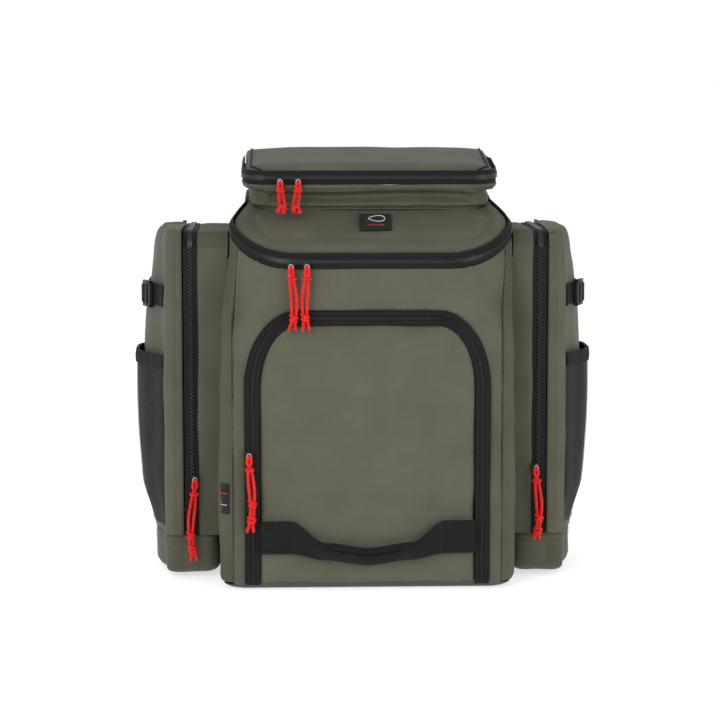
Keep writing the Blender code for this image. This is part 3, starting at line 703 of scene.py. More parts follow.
# %% Base
def rounded(share, half, low, high, corner):
    """A round-cornered outline, from the right front corner round to the front again."""
    quarter, part = divmod(min(share, 0.9999) * 4.0, 1.0)
    spots = ((half - corner, low + corner), (half - corner, high - corner),
             (corner - half, high - corner), (corner - half, low + corner))
    start = (quarter - 1.0) * math.pi / 2.0
    here = spots[int(quarter)]
    if part < 0.4:
        angle = start + part / 0.4 * math.pi / 2.0
        return here[0] + corner * math.cos(angle), here[1] + corner * math.sin(angle)
    after, angle = spots[(int(quarter) + 1) % 4], start + math.pi / 2.0
    along = (part - 0.4) / 0.6
    return (mix(here[0], after[0], along) + corner * math.cos(angle),
            mix(here[1], after[1], along) + corner * math.sin(angle))


def base_cloth(u, v):
    inward = foot_inset(0.0)
    if v < 0.4:
        x, y = rounded(u, HALF_WIDTH - inward, FRONT_Y + inward, BACK_Y - inward, 0.012)
        return Vector((x * v / 0.4, mix(-0.025, y, v / 0.4), 0.0002))
    x, y = rounded(u, HALF_WIDTH - inward, FRONT_Y + inward, BACK_Y - inward, 0.012)
    top = mix(0.0100, 0.0055, smooth(0.120, 0.150, abs(x))) + 0.0010 * math.sin(x * 60.0)
    z = 0.0002 + top * ((v - 0.4) / 0.6) ** 1.6
    inward = foot_inset(z) - 0.0004
    x, y = rounded(u, HALF_WIDTH - inward, FRONT_Y + inward, BACK_Y - inward, 0.018)
    return Vector((x, y, z))


panel("base_cloth", base_cloth, 260, 24, 0.0012, (COATED,), "pack", ("base_panel",), ring=True)
for node, finish in (("base_board", BOARD), ("pocket_divider", LINING)):
    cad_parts[node].data.materials.clear()
    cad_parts[node].data.materials.append(finish)


# %% Seams of the body
for side, word in SIDES:
    edge = [Vector((side * (half_at(z) - 0.0022), front_y(half_at(z) - 0.0022, z) + 0.0006, z))
            for z in (0.014 + 0.366 * k / 90.0 for k in range(91))]
    piping("body_piping_" + word, edge, 0.0016, OLIVE_PAINTED_SHADE, "pack", LEAN)
    x = SEAM_X - 0.0038
    row = [Vector((side * x, front_y(x, z) - 0.0004, z))
           for z in (0.020 + 0.340 * k / 80.0 for k in range(81))]
    stitches("front_seam_" + word, [row], THREAD_OLIVE, "pack", LEAN)
print("body panels made")


# %% [markdown]
# ## Zips
# A zip is two tapes with a row of teeth on the edge of each. All four kinds on this pack are made by
# one function: it takes the line that the zip follows, and makes one half, which rides on the body
# that the half is sewn to. The teeth of one half stand between those of the other.

# %% One half of a zip
TOOTH_PITCH = 0.0027
TOOTH = (0.0013, 0.0036, 0.0020)


def zip_half(name, line_at, half, body, stands_for, outward=1.0, lean=LEAN):
    """line_at(share, across) is a point of the zip, across from its middle line. half is +1 or -1."""
    def place(share, across):
        return leaned(line_at(share, across), lean)

    def tape(u, v):
        edge = (0.0006, ZIP_HALF)
        return place(u, half * (mix(edge[1], edge[0], v) if half * outward < 0 else mix(edge[0], edge[1], v)))

    def tape_relief(u, v, point):
        near = 1.0 - v if half * outward < 0 else v
        return 0.0010 * bump_at(0.32, 0.20, near) + 0.0005 * bump_at(0.75, 0.10, near)
    line = [place(i / 400.0, 0.0) for i in range(401)]
    total = length_of(line)
    panel(name, tape, int(total / 0.005), 10, 0.0012, (TAPE,), body, (stands_for,),
          tape_relief, lean=0.0)

    work = bmesh.new()
    count = int(total / TOOTH_PITCH)
    for number in range(count):
        share = (number + (0.25 if half > 0 else 0.75)) / count
        middle = place(share, half * 0.0011)
        along = (place(min(1.0, share + 0.001), 0.0) - place(max(0.0, share - 0.001), 0.0)).normalized()
        across = (place(share, 0.002) - place(share, -0.002)).normalized()
        out = along.cross(across).normalized() * outward
        turn = Matrix((along, across, out)).transposed().to_4x4()
        sized = Matrix.Diagonal((*TOOTH, 1.0))
        made = bmesh.ops.create_cube(work, size=1.0)["verts"]
        bmesh.ops.transform(work, matrix=Matrix.Translation(middle + out * 0.0006) @ turn @ sized,
                            verts=made)
    made_from(name + "_teeth", work, (TEETH,), body)
    return count


# %% The zips of the body
def arch_line(share, across):
    x, z = zip_arch(share, across)
    return Vector((x, front_y(x, z) - 0.001, z))


def rim_line(share, across):
    inward = 0.003 * max(0.0, across) / ZIP_HALF
    return rim_plan(mix(-1.0, 1.0, share), ZIP_HALF + across, inward)


def top_line(share, across):
    x, y = pocket_ring(mix(-1.0, 1.0, share), POCKET_FLARE)
    drop = 0.45 * smooth(0.80, 1.0, abs(2.0 * share - 1.0))
    return Vector((x, y, pocket_edge(y) + (ZIP_HALF + across) * (1.0 - drop)))


teeth = zip_half("front_zip_outer_tape", arch_line, 1, "pack", "front_zip_outer", -1.0)
teeth += zip_half("front_zip_inner_tape", arch_line, -1, "front_pocket", "front_zip_inner", -1.0)
teeth += zip_half("lid_zip_lower_tape", rim_line, -1, "pack", "main_zip_lower")
teeth += zip_half("lid_zip_upper_tape", rim_line, 1, "main_lid", "main_zip_upper")
teeth += zip_half("top_zip_lower_tape", top_line, -1, "main_lid", "top_zip_lower")
teeth += zip_half("top_zip_upper_tape", top_line, 1, "top_lid", "top_zip_upper")
for side, word in SIDES:
    def side_line(share, across, side=side):
        point = gusset_point(share, SIDE_ZIP_X + across)
        return Vector((side * point.x, point.y, point.z))
    teeth += zip_half("side_zip_fixed_tape_" + word, side_line, -1, "pack", "side_zip_fixed_" + word,
                      -1.0 * side, 0.0)
    teeth += zip_half("side_zip_door_tape_" + word, side_line, 1, "side_door_" + word,
                      "side_zip_door_" + word, -1.0 * side, 0.0)
print("zip teeth:", teeth)


# %% [markdown]
# ## The front pocket and its haul handle
# The pocket's panel fills the arch. It is padded, so it swells towards the middle, and rolls down to
# its zip all round. The handle is one length of wide webbing sewn flat at both ends; its middle is
# folded double to make a grip, so it is narrower and hangs a little lower there.

# %% Front pocket panel
def pocket_face(u, v):
    inner = ZIP_HALF + 0.0003
    half, top = ARCH_X - inner, ARCH_TOP - inner
    round_x, round_z = ARCH_CORNER[0] - inner, ARCH_CORNER[1] - inner
    z = round_rows(v, FOOT, top, 0.0, round_z)
    past = max(0.0, z - (top - round_z)) / round_z
    reach = half - round_x * (1.0 - math.sqrt(max(0.0, 1.0 - past * past)))
    x = mix(-reach, reach, u)
    swell = (1.0 - (x / half) ** 4) * math.sin(math.pi * v) ** 0.5 if 0.0 < v < 1.0 else 0.0
    return Vector((x, front_y(x, z) - FRONT_BULGE * max(0.0, swell), z))


def pocket_relief(u, v, point):
    return (rolled(u, v, 0.022, 0.030, 0.0026) + ripple(point, 0.085, 0.0022, 8.0)
            + ripple(point, 0.030, 0.0007, 9.0) - 0.0020 * bump_at(HANDLE_Z + 0.030, 0.030, point.z))


panel("front_pocket_cloth", pocket_face, 130, 150, 0.0035, (OLIVE, LINING), "front_pocket",
      ("front_panel",), pocket_relief)


# %% Haul handle
def webbing(name, surface, columns, rows, thick, body, stands_for, relief=None):
    return panel(name, surface, columns, rows, thick, (WEBBING,), body, stands_for, relief, lean=0.0)


def ribbed(u, v, point):
    """Webbing's cross ribs and its two thicker edges."""
    return 0.00022 * math.sin(point.x / 0.0034 * math.pi) + 0.0003 * (bump_at(0.05, 0.05, v)
                                                                     + bump_at(0.95, 0.05, v))


for side, word in SIDES:
    def anchor(u, v, side=side):
        x = side * mix(HANDLE_FREE_X, HANDLE_END_X + 0.0012, u if side > 0 else 1.0 - u)
        return Vector((x, FRONT_Y - 0.0103, HANDLE_Z + HANDLE_WIDE * (v - 0.5)))
    webbing("handle_end_" + word, anchor, 60, 14, 0.0022, "front_pocket", ("handle_anchor_" + word,),
            ribbed)


def handle(u, v):
    x = mix(-HANDLE_FREE_X, HANDLE_FREE_X, u)
    drop = smooth(0.0, 0.040, HANDLE_FREE_X - abs(x))
    tall = mix(HANDLE_WIDE, 0.0205, drop)
    middle = HANDLE_Z - 0.021 * drop + 0.006 * smooth(0.0, 0.05, abs(x)) * drop
    curl = 0.0050 * drop * (1.0 - (2.0 * v - 1.0) ** 2)
    return Vector((x, FRONT_Y - 0.0105 - 0.007 * drop - curl, middle + tall * (v - 0.5)))


webbing("haul_grip", handle, 150, 16, 0.0024, "haul_handle", ("haul_handle",),
        lambda u, v, point: ribbed(u, v, point) - 0.0016 * bump_at(0.62, 0.06, v)
        * smooth(0.040, 0.052, HANDLE_FREE_X - abs(point.x)))
print("front pocket made")


# %% [markdown]
# ## The lid and the top pocket
# The lid is a D of padded cloth that slopes up from the front, with a soft rolled edge above its zip.
# The top pocket stands on it: a low wall whose loose lower half folds in, so that a dark crease runs
# round it, with slanting folds at the two front corners. Its own lid is crowned.

# %% Main lid
LID_INSET = 0.0055


def lid_cloth(u, v):
    low, high = FRONT_Y + LID_INSET, BACK_Y - 0.001
    y = round_rows(v, low, high, CORNER_HIGH - LID_INSET, CORNER_BACK)
    half = lid_half_width(y, LID_INSET)
    return Vector((half * math.sin((2.0 * u - 1.0) * math.pi / 2.0), y, lid_height(y)))


def lid_relief(u, v, point):
    front = max(0.0, point.y - FRONT_Y - LID_INSET)
    side = max(0.0, lid_half_width(point.y, LID_INSET) - abs(point.x))
    near = min(front, side)
    puff = 0.0048 * math.sqrt(max(0.0, 1.0 - (1.0 - min(1.0, near / 0.012)) ** 2)) - 0.0040
    welt = -0.0018 * bump_at(0.022, 0.010, near)
    sag = -0.0040 * bump_at(0.0, 0.10, point.x) * bump_at(-0.075, 0.05, point.y)
    return puff + welt + sag + ripple(point, 0.05, 0.0022, 11.0)


panel("lid_cloth", lid_cloth, 150, 120, 0.0035, (OLIVE, LINING), "main_lid", ("main_lid",), lid_relief)


# %% Top pocket
def pocket_wall(u, v):
    x, y = pocket_ring(mix(-1.0, 1.0, u), POCKET_FLARE * v)
    return Vector((x, y, mix(lid_height(y) + 0.0005, pocket_edge(y) - 0.0003, v)))


def wall_relief(u, v, point):
    crease = -0.0085 * bump_at(0.52 + 0.04 * math.sin(point.x * 31.0), 0.26, v)
    lip = 0.0020 * bump_at(0.90, 0.12, v)
    roll = 0.0034 * bump_at(0.22, 0.18, v)
    corner = smooth(0.100, 0.125, abs(point.x)) * smooth(0.0, -0.045, point.y)
    slant = abs(point.x) * 0.9 + (point.z - 0.440) * 1.1
    folds = corner * 0.0038 * math.sin(slant / 0.0058) * bump_at(0.45, 0.45, v)
    return crease * (1.0 - 0.4 * corner) + lip + roll + folds + ripple(point, 0.020, 0.0016, 13.0)


panel("top_pocket_wall", pocket_wall, 240, 34, 0.0030, (OLIVE_PAINTED_SHADE, LINING), "main_lid",
      ("top_pocket_walls",), wall_relief)


def pocket_back(u, v):
    half = POCKET_HALF - 0.001
    return Vector((mix(half, -half, u), POCKET_BACK_Y,
                   mix(lid_height(POCKET_BACK_Y) + 0.001,
                       pocket_edge(POCKET_BACK_Y) + 2.0 * ZIP_HALF - 0.0055, v)))


panel("top_pocket_rear", pocket_back, 90, 20, 0.0030, (OLIVE_PAINTED_SHADE, LINING), "main_lid",
      ("top_pocket_back",), lambda u, v, point: ripple(point, 0.03, 0.0012, 14.0) - 0.001)


def crown(u, v):
    inset = 0.0030
    full, corner = POCKET_HALF + POCKET_FLARE - inset, POCKET_CORNER - inset
    low = POCKET_FRONT_Y - POCKET_FLARE / 2.0 + inset
    y = round_rows(v, low, POCKET_BACK_Y, corner, 0.0)
    past = max(0.0, low + corner - y)
    half = full - corner + math.sqrt(max(0.0, corner ** 2 - past ** 2))
    turn = math.sin((2.0 * u - 1.0) * math.pi / 2.0)
    near = min(max(0.0, y - low), half * (1.0 - abs(turn)))
    lift = (1.0 - turn ** 6) * (1.0 - (2.0 * v - 1.0) ** 6) * POCKET_CROWN
    roll = 0.0045 * math.sqrt(max(0.0, 1.0 - (1.0 - min(1.0, near / 0.010)) ** 2)) - 0.0045
    return Vector((half * turn, y, pocket_edge(y) + 2.0 * ZIP_HALF + lift + roll))


panel("top_lid_cloth", crown, 150, 90, 0.0030, (OLIVE, LINING), "top_lid", ("top_lid",),
      lambda u, v, point: ripple(point, 0.05, 0.0014, 16.0))


# %% Seams of the lid and the top pocket
def along_panel(surface, relief, v, low=0.0, high=1.0, lift=0.0006, count=300):
    """A line across a panel at one height of it."""
    return [laid(surface, relief, mix(low, high, k / count), v, lift) for k in range(count + 1)]


stitches("top_wall_seam", [along_panel(pocket_wall, wall_relief, v) for v in (0.05, 0.84)], THREAD_OLIVE,
         "main_lid", LEAN)
for side, word in SIDES:
    u = 0.5 + side * 0.404
    edge = [laid(crown, None, u, 0.07 + 0.90 * k / 60.0, 0.0004) for k in range(61)]
    piping("top_lid_piping_" + word, edge, 0.0014, BINDING, "top_lid", LEAN)
print("lid and top pocket made")


# %% [markdown]
# ## Side pockets
# Each side pocket is a deep shell in two halves with a zip between them, over a sewn bottom cup. The
# outer half carries a net sleeve with an elastic binding, and a compression strap with its buckle.

# %% Shells and cups
def frame_cloth(side):
    def surface(u, v):
        z = gusset_point(u, HALF_WIDTH, 0.0005).z
        inner = half_at(z) + 0.0004 + side * leaned(Vector((0.0, 0.0, z))).x
        return gusset_point(u, mix(SIDE_ZIP_X - ZIP_HALF + 0.0008, inner, v), 0.0005)
    return surface


def frame_relief(u, v, point):
    return (0.0030 * math.sqrt(max(0.0, 1.0 - (1.0 - min(1.0, v / 0.35)) ** 2)) - 0.0015
            + ripple(point, 0.05, 0.0020, 21.0) + ripple(point, 0.02, 0.0007, 22.0))


def door_relief(u, v, point):
    edge = min(u, 1.0 - u)
    roll = 0.0026 * math.sqrt(max(0.0, 1.0 - (1.0 - min(1.0, edge / 0.05)) ** 2)) - 0.0012
    ridge = 0.0012 * bump_at(0.245, 0.022, u) - 0.0010 * bump_at(0.280, 0.020, u)
    calm = 1.0 if not NET_Z[0] - 0.01 < point.z < NET_Z[1] else 0.35
    return roll + ridge + calm * (ripple(point, 0.06, 0.0024, 24.0) + ripple(point, 0.024, 0.0008, 25.0))


CUP_IN, CUP_SEAM = HALF_WIDTH + 0.0006, SIDE_ZIP_X + ZIP_HALF + SEW
CUP_MIDDLE = Vector(((CUP_IN + SIDE_ZIP_X + SIDE_DEPTH) / 2.0, (SIDE_FRONT_Y + SIDE_BACK_Y) / 2.0, 0.0))
CUP_ROUND = 0.016


def cup_outline(u):
    """The outer two thirds follow the door, and the rest goes back along the body."""
    if u < 0.65:
        out, y = door_plan(u / 0.65, door_depth(0.0))
        return Vector((CUP_SEAM + out, y, 0.0))
    angle = (u - 0.65) / 0.35 * math.pi
    wave = (abs(math.cos(angle)) ** 6 + abs(math.sin(angle)) ** 6) ** (-1.0 / 6.0)
    return Vector((CUP_SEAM - (CUP_SEAM - CUP_IN) * wave * math.sin(angle),
                   CUP_MIDDLE.y + (SIDE_BACK_Y - SIDE_FRONT_Y) / 2.0 * wave * math.cos(angle), 0.0))


def cup(u, v):
    if v < 0.6:
        angle = v / 0.6 * math.pi / 2.0
        share, z = math.sin(angle) ** 0.7, SIDE_FLOOR + CUP_ROUND * (1.0 - math.cos(angle) ** 0.7)
    else:
        share, z = 1.0, mix(SIDE_FLOOR + CUP_ROUND, SIDE_BASE_TOP + 0.0002, (v - 0.6) / 0.4)
    point = CUP_MIDDLE + (cup_outline(u) - CUP_MIDDLE) * share
    return Vector((point.x, point.y, z))


for side, word in SIDES:
    panel("side_frame_cloth_" + word, on_side(frame_cloth(side), side), 200, 22, 0.0030, (OLIVE_PAINTED_SHADE, LINING),
          "pack", ("side_pocket_frame_" + word,), frame_relief if side > 0 else
          lambda u, v, point: frame_relief(1.0 - u, v, point), lean=0.0)
    panel("side_door_cloth_" + word, on_side(door_point, side), 110, 120, 0.0028, (OLIVE, LINING),
          "side_door_" + word, ("side_door_" + word,), door_relief, lean=0.0)
    panel("side_cup_cloth_" + word, on_side(cup, side), 120, 40, 0.0028, (OLIVE_PAINTED_SHADE, LINING), "pack",
          ("side_pocket_base_" + word,),
          lambda u, v, point: ripple(point, 0.03, 0.0012, 27.0) + rolled(u, v, 0.1, 0.05, 0.0016, "t"),
          ring=True, lean=0.0)


# %% Seams of the side pockets
for side, word in SIDES:
    shape = on_side(door_point, side)
    rows = []
    for share in (0.045, 0.085, 0.955):
        u = share if side > 0 else 1.0 - share
        rows.append([laid(shape, None, u, k / 90.0, 0.0014) for k in range(2, 84)])
    stitches("door_seam_" + word, rows, THREAD_OLIVE, "side_door_" + word)
    shape = on_side(cup, side)
    rows = [[laid(shape, None, k / 240.0, v, 0.0012) for k in range(241)] for v in (0.86, 0.95)]
    stitches("cup_seam_" + word, rows, THREAD_OLIVE, "pack")
print("side pockets made")


# %% [markdown]
# ## Net sleeves
# A net is mostly holes, so it is made as real yarn: a grid of cells turned by an eighth of a turn, each
# edge of which becomes a thin strand with the wireframe operator. A darker lining sits just behind it.

# %% Net, lining and binding
NET_CELL = 0.0036


def net_place(y, z, out):
    share = (z - NET_Z[0]) / (NET_Z[1] - NET_Z[0])
    across = (y - NET_Y[0]) / (NET_Y[1] - NET_Y[0])
    rise = smooth(0.0, 0.25, share)
    edge = max(0.0, 1.0 - (2.0 * across - 1.0) ** 8)
    return Vector((door_out(y, z) + 0.0024 + NET_STAND * edge * rise + out, y, z))


def net_piece(side, word):
    work = bmesh.new()
    reach = 0.5 * (NET_Z[1] - NET_Z[0] + NET_Y[1] - NET_Y[0])
    cells = int(2.0 * reach / NET_CELL)
    bmesh.ops.create_grid(work, x_segments=cells, y_segments=cells, size=reach)
    middle = Vector(((NET_Y[0] + NET_Y[1]) / 2.0, (NET_Z[0] + NET_Z[1]) / 2.0, 0.0))
    turn = Matrix.Translation(middle) @ Matrix.Rotation(math.pi / 4.0, 4, "Z")
    bmesh.ops.transform(work, matrix=turn, verts=work.verts)
    for place, way in (((NET_Y[0], 0, 0), (-1, 0, 0)), ((NET_Y[1], 0, 0), (1, 0, 0)),
                       ((0, NET_Z[0], 0), (0, -1, 0)), ((0, NET_Z[1] - 0.012, 0), (0, 1, 0))):
        bmesh.ops.bisect_plane(work, geom=work.verts[:] + work.edges[:] + work.faces[:], plane_co=place,
                               plane_no=way, clear_outer=True)
    for vert in work.verts:
        point = net_place(vert.co.x, vert.co.y, 0.0004)
        vert.co = Vector((side * point.x, point.y, point.z))
    bmesh.ops.wireframe(work, faces=work.faces, thickness=0.0011, use_replace=True, use_boundary=True,
                        use_even_offset=False)
    return made_from("net_" + word, work, (NET,), "side_door_" + word)


for side, word in SIDES:
    def lining(u, v):
        return net_place(mix(*NET_Y, u), mix(*NET_Z, v), -0.0008)
    backing = panel("net_lining_" + word, on_side(lining, side), 60, 60, 0.0006, (NET_BACK,),
                    "side_door_" + word, ("mesh_pocket_" + word,), lean=0.0)
    net = net_piece(side, word)

    def binding(u, v):
        return net_place(mix(NET_Y[0] - 0.001, NET_Y[1] + 0.001, u),
                         mix(NET_Z[1] - 0.015, NET_Z[1] + 0.0005, v), 0.0014)
    hem = panel("net_binding_" + word, on_side(binding, side), 150, 10, 0.0030, (BINDING,),
                "side_door_" + word, (), lambda u, v, point: 0.0004 * math.sin(u * 260.0)
                + 0.0006 * bump_at(0.5, 0.5, v), lean=0.0)


# %% Straps and buckles on the doors
def strap_line(u, v):
    z = STRAP_Z + STRAP_WIDE * (v - 0.5)
    y = mix(NET_Y[0] - 0.002, NET_Y[1] + 0.002, u)
    return Vector((door_out(y, z) + 0.0038, y, z))


def buckle(name, middle, side, body, stands_for, size=(0.0085, 0.024, 0.031)):
    """A ladder buckle: a rounded frame with two bars across it, and a ribbed grip at its end."""
    work = bmesh.new()
    parts = [((0.0, 0.0, size[2] / 2.0 - 0.002), (size[0] * 0.6, size[1], 0.004)),
             ((0.0, 0.0, 0.002 - size[2] / 2.0), (size[0] * 0.6, size[1], 0.004)),
             ((0.0, size[1] / 2.0 - 0.002, 0.0), (size[0] * 0.6, 0.004, size[2])),
             ((0.0, 0.002 - size[1] / 2.0, 0.0), (size[0] * 0.6, 0.004, size[2])),
             ((0.0012, 0.0, 0.0), (size[0] * 0.5, 0.0045, size[2] - 0.002))]
    parts += [((0.0018, size[1] / 2.0 - 0.0015 - k * 0.0022, 0.0), (size[0] * 0.55, 0.001, size[2] * 0.7))
              for k in range(3)]
    for place, dims in parts:
        made = bmesh.ops.create_cube(work, size=1.0)["verts"]
        bmesh.ops.transform(work, matrix=Matrix.Translation(place) @ Matrix.Diagonal((*dims, 1.0)),
                            verts=made)
    bmesh.ops.bevel(work, geom=work.edges[:], offset=0.0007, segments=2, profile=0.5, affect="EDGES",
                    material=-1)
    turn = Matrix.Translation(middle) @ Matrix.Diagonal((side, 1.0, 1.0, 1.0))
    bmesh.ops.transform(work, matrix=turn, verts=work.verts)
    return made_from(name, work, (PLASTIC,), body, stands_for)


for side, word in SIDES:
    webbing("side_webbing_" + word, on_side(strap_line, side), 120, 12, 0.0020, "side_door_" + word,
            ("side_strap_" + word,), lambda u, v, point: 0.00022 * math.sin(point.y / 0.0034 * math.pi))
    low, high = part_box("side_buckle_" + word)
    middle = (Vector(low) + Vector(high)) / 2.0
    slope = (door_out(-0.018, STRAP_Z) - door_out(-0.042, STRAP_Z)) / 0.024
    clip = buckle("side_clip_" + word, Vector((0.0, 0.0, 0.0)), side, "side_door_" + word,
                  ("side_buckle_" + word,))
    clip.data.transform(Matrix.Translation(middle) @ Matrix.Rotation(-side * math.atan(slope), 4, "Z"))
print("nets, straps and buckles made")


# %% [markdown]
# ## The back
# The wearer's side has two foam pads under air mesh, two padded shoulder straps that end in a ladder
# buckle and webbing, and a small grab loop. Each pad is a crowned closed form with a seam round it.

# %% Pads, shoulder straps and grab loop
def pad(name, low, high, bulge, body, stands_for, channels=()):
    work = bmesh.new()
    chart = work.loops.layers.uv.new("weave")
    bmesh.ops.create_cube(work, size=2.0, calc_uvs=True)
    bmesh.ops.subdivide_edges(work, edges=work.edges[:], cuts=40, use_grid_fill=True)
    middle, half = (low + high) / 2.0, (high - low) / 2.0
    for vert in work.verts:
        x, y, z = vert.co
        shrink = 1.0 - 0.10 * abs(x) ** 8 * abs(z) ** 8
        rim = (1.0 - abs(x) ** 6) * (1.0 - abs(z) ** 6)
        thick = mix(0.45, 1.0, max(0.0, rim) ** 0.5)
        for channel in channels:
            thick -= 0.35 * bump_at(channel, 0.035, z)
        vert.co = middle + Vector((x * half.x * shrink, y * half.y * thick, z * half.z * shrink))
        if y > 0.5:
            vert.co.y += bulge * max(0.0, rim)
    for face in work.faces:
        for corner in face.loops:
            corner[chart].uv = (corner.vert.co.x + corner.vert.co.y, corner.vert.co.z)
    mesh = bpy.data.meshes.new(name)
    work.to_mesh(mesh)
    work.free()
    made = finished(name, mesh, (AIR_MESH,), body, stands_for, 70.0)
    return made


def shoulder(u, v):
    along = 1.0 - v
    x = mix(0.085, 0.105, along) + (u - 0.5) * -mix(0.062, 0.046, along)
    y = BACK_Y + 0.034 + 0.020 * math.sin(math.pi * along ** 0.8)
    return Vector((x, y - 0.003, mix(0.150, 0.425, 1.0 - along)))


def shoulder_relief(u, v, point):
    return 0.0030 * (1.0 - (2.0 * u - 1.0) ** 4) * (1.0 - (2.0 * v - 1.0) ** 12) - 0.0009 * (
        bump_at(0.12, 0.03, u) + bump_at(0.88, 0.03, u))


def lower_webbing(u, v):
    return Vector((mix(0.128, 0.106, v) + (u - 0.5) * -0.025,
                   BACK_Y + mix(0.006, 0.0305, math.sin(v * math.pi / 2.0)), mix(0.026, 0.1200, v)))


for side, word in SIDES:
    low, high = (Vector(corner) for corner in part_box("back_pad_" + word))
    pad("back_pad_cloth_" + word, low, high, 0.003, "pack", ("back_pad_" + word,), (-0.45, 0.0, 0.45))
    strap = panel("shoulder_pad_" + word, on_side(shoulder, side), 30, 110, 0.0085, (AIR_MESH,),
                  "shoulder_strap_" + word, ("shoulder_strap_" + word,), shoulder_relief, lean=0.0)
    webbing("shoulder_webbing_" + word, on_side(lower_webbing, side), 12, 60, 0.0020,
            "shoulder_strap_" + word, ("strap_webbing_" + word,))
    low, high = (Vector(corner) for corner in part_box("ladder_lock_" + word))
    lock = buckle("strap_buckle_" + word, Vector((0.0, 0.0, 0.0)), 1.0, "shoulder_strap_" + word,
                  ("ladder_lock_" + word,), size=(0.0075, 0.034, 0.028))
    turn = Matrix.Translation((low + high) / 2.0) @ Matrix.Rotation(math.pi / 2.0, 4, "Z")
    lock.data.transform(turn)


def loop(u, v):
    rise = math.sin(math.pi * u) ** 0.6 if 0.0 < u < 1.0 else 0.0
    return Vector((mix(0.050, -0.050, u), BACK_Y + 0.004 + 0.026 * rise, 0.408 + 0.025 * (v - 0.5)))


webbing("grab_loop", loop, 90, 12, 0.0020, "grab_handle", ("grab_handle",), ribbed)
print("back made")


# %% [markdown]
# ## Sliders and pull cords
# A slider is a black body with a bridge over it, and a long bright wire loop hangs from the bridge. A
# doubled red cord is threaded through the loop, wound once near its top, and knotted near its end.

# %% One slider
def slider(name, middle, body, stands_for):
    """A slider round its middle. Its wire loop belongs to the pull."""
    work = bmesh.new()
    parts = (((0.0, 0.0008, 0.0), (0.0086, 0.0030, 0.0100)),
             ((0.0, 0.0008, 0.0045), (0.0064, 0.0030, 0.0030)),
             ((0.0, -0.0016, 0.0028), (0.0028, 0.0030, 0.0018)),
             ((0.0, -0.0016, -0.0030), (0.0028, 0.0030, 0.0018)),
             ((0.0, -0.0028, 0.0), (0.0028, 0.0012, 0.0082)))
    for place, dims in parts:
        made = bmesh.ops.create_cube(work, size=1.0)["verts"]
        bmesh.ops.transform(work, matrix=Matrix.Translation(middle + Vector(place))
                            @ Matrix.Diagonal((*dims, 1.0)), verts=made)
    bmesh.ops.bevel(work, geom=work.edges[:], offset=0.0006, segments=2, profile=0.5, affect="EDGES",
                    material=-1)
    return made_from(name, work, (ENAMEL,), body, stands_for)


# %% One pull: wire loop, doubled cord, collar and knots
STRAND = 0.0018


def pull(name, top, length, body, stands_for, knots, turn=0.0, lean=0.0):
    def place(along, side=0.0, out=0.0):
        """A point of the cord's middle line, along of its length down, moved sideways or outwards."""
        steps = 24
        here = Vector(top)
        last = 0.0
        for number in range(1, steps + 1):
            share = along * number / steps
            angle = turn * smooth(0.25, 0.60, (share + last) / 2.0)
            way = Vector((lean * math.sin(share * 5.0), -math.sin(angle), -math.cos(angle)))
            here += way * (share - last) * length
            last = share
        return here + Vector((side, 0.0, 0.0)) + Vector((0.0, -math.cos(turn * smooth(0.25, 0.6, along)),
                                                         math.sin(turn * smooth(0.25, 0.6, along)))) * out

    middle = [place(k / 40.0) for k in range(41)]
    work = bmesh.new()
    bow = 0.0024
    left, right = [], []
    for k in range(33):
        along = k / 32.0
        between = 0.0
        if along < knots[0]:
            between = max(0.0, math.sin(math.pi * (along - 0.17) / (knots[0] - 0.17)))
        spread = mix(0.0016, 0.0019, smooth(0.0, 0.1, along)) + 0.0012 * between
        if along < 0.13:
            spread = bow * math.sin(math.pi * min(1.0, 0.12 + along / 0.15))
        tails = smooth(knots[-1] + 0.05, 1.0, along)
        left.append(place(along, -spread - 0.0022 * tails, 0.0008 * math.sin(along * 9.0)))
        right.append(place(along, spread + 0.0016 * tails, -0.0008 * math.sin(along * 9.0)))
    tube(work, [*reversed(left), place(0.0, 0.0, 0.0) + Vector((0.0, 0.0, 0.0008)), *right], STRAND, 10)
    tube(work, [place(0.165 + 0.0009 / length * math.sin(a), 0.0042 * math.cos(a), 0.0030 * math.sin(a))
                for a in (2.0 * math.pi * k / 20.0 for k in range(20))], STRAND * 0.8, 8, True)
    for number, knot in enumerate(knots):
        for wrap, (tilt, shift) in enumerate(((0.5, -0.026), (-0.35, 0.006), (0.25, 0.034))):
            ring = []
            for k in range(22):
                a = 2.0 * math.pi * k / 22.0
                along = knot + shift * 0.075 / length + (tilt * 0.0036 / length) * math.cos(a + number)
                ring.append(place(along, (0.0040 - 0.0004 * wrap) * math.cos(a), 0.0034 * math.sin(a)))
            tube(work, ring, STRAND * 0.95, 10, True)
    made = made_from(name, work, (RED,), body, stands_for, 80.0)
    chart = made.data.uv_layers.new(name="weave")
    for corner in made.data.loops:
        at = made.data.vertices[corner.vertex_index].co
        chart.data[corner.index].uv = (at.x, at.z)

    work = bmesh.new()
    long, wide = 0.0155, 0.0030
    hoop = []
    for k in range(32):
        a = 2.0 * math.pi * k / 32.0
        hoop.append(Vector(top) + Vector((wide * math.cos(a), 0.0012 - 0.0008 * math.sin(a),
                                          0.0042 - long / 2.0 + long / 2.0 * math.sin(a))))
    tube(work, hoop, 0.0007, 8, True)
    wire = made_from(name + "_wire", work, (WIRE,), body)
    return made


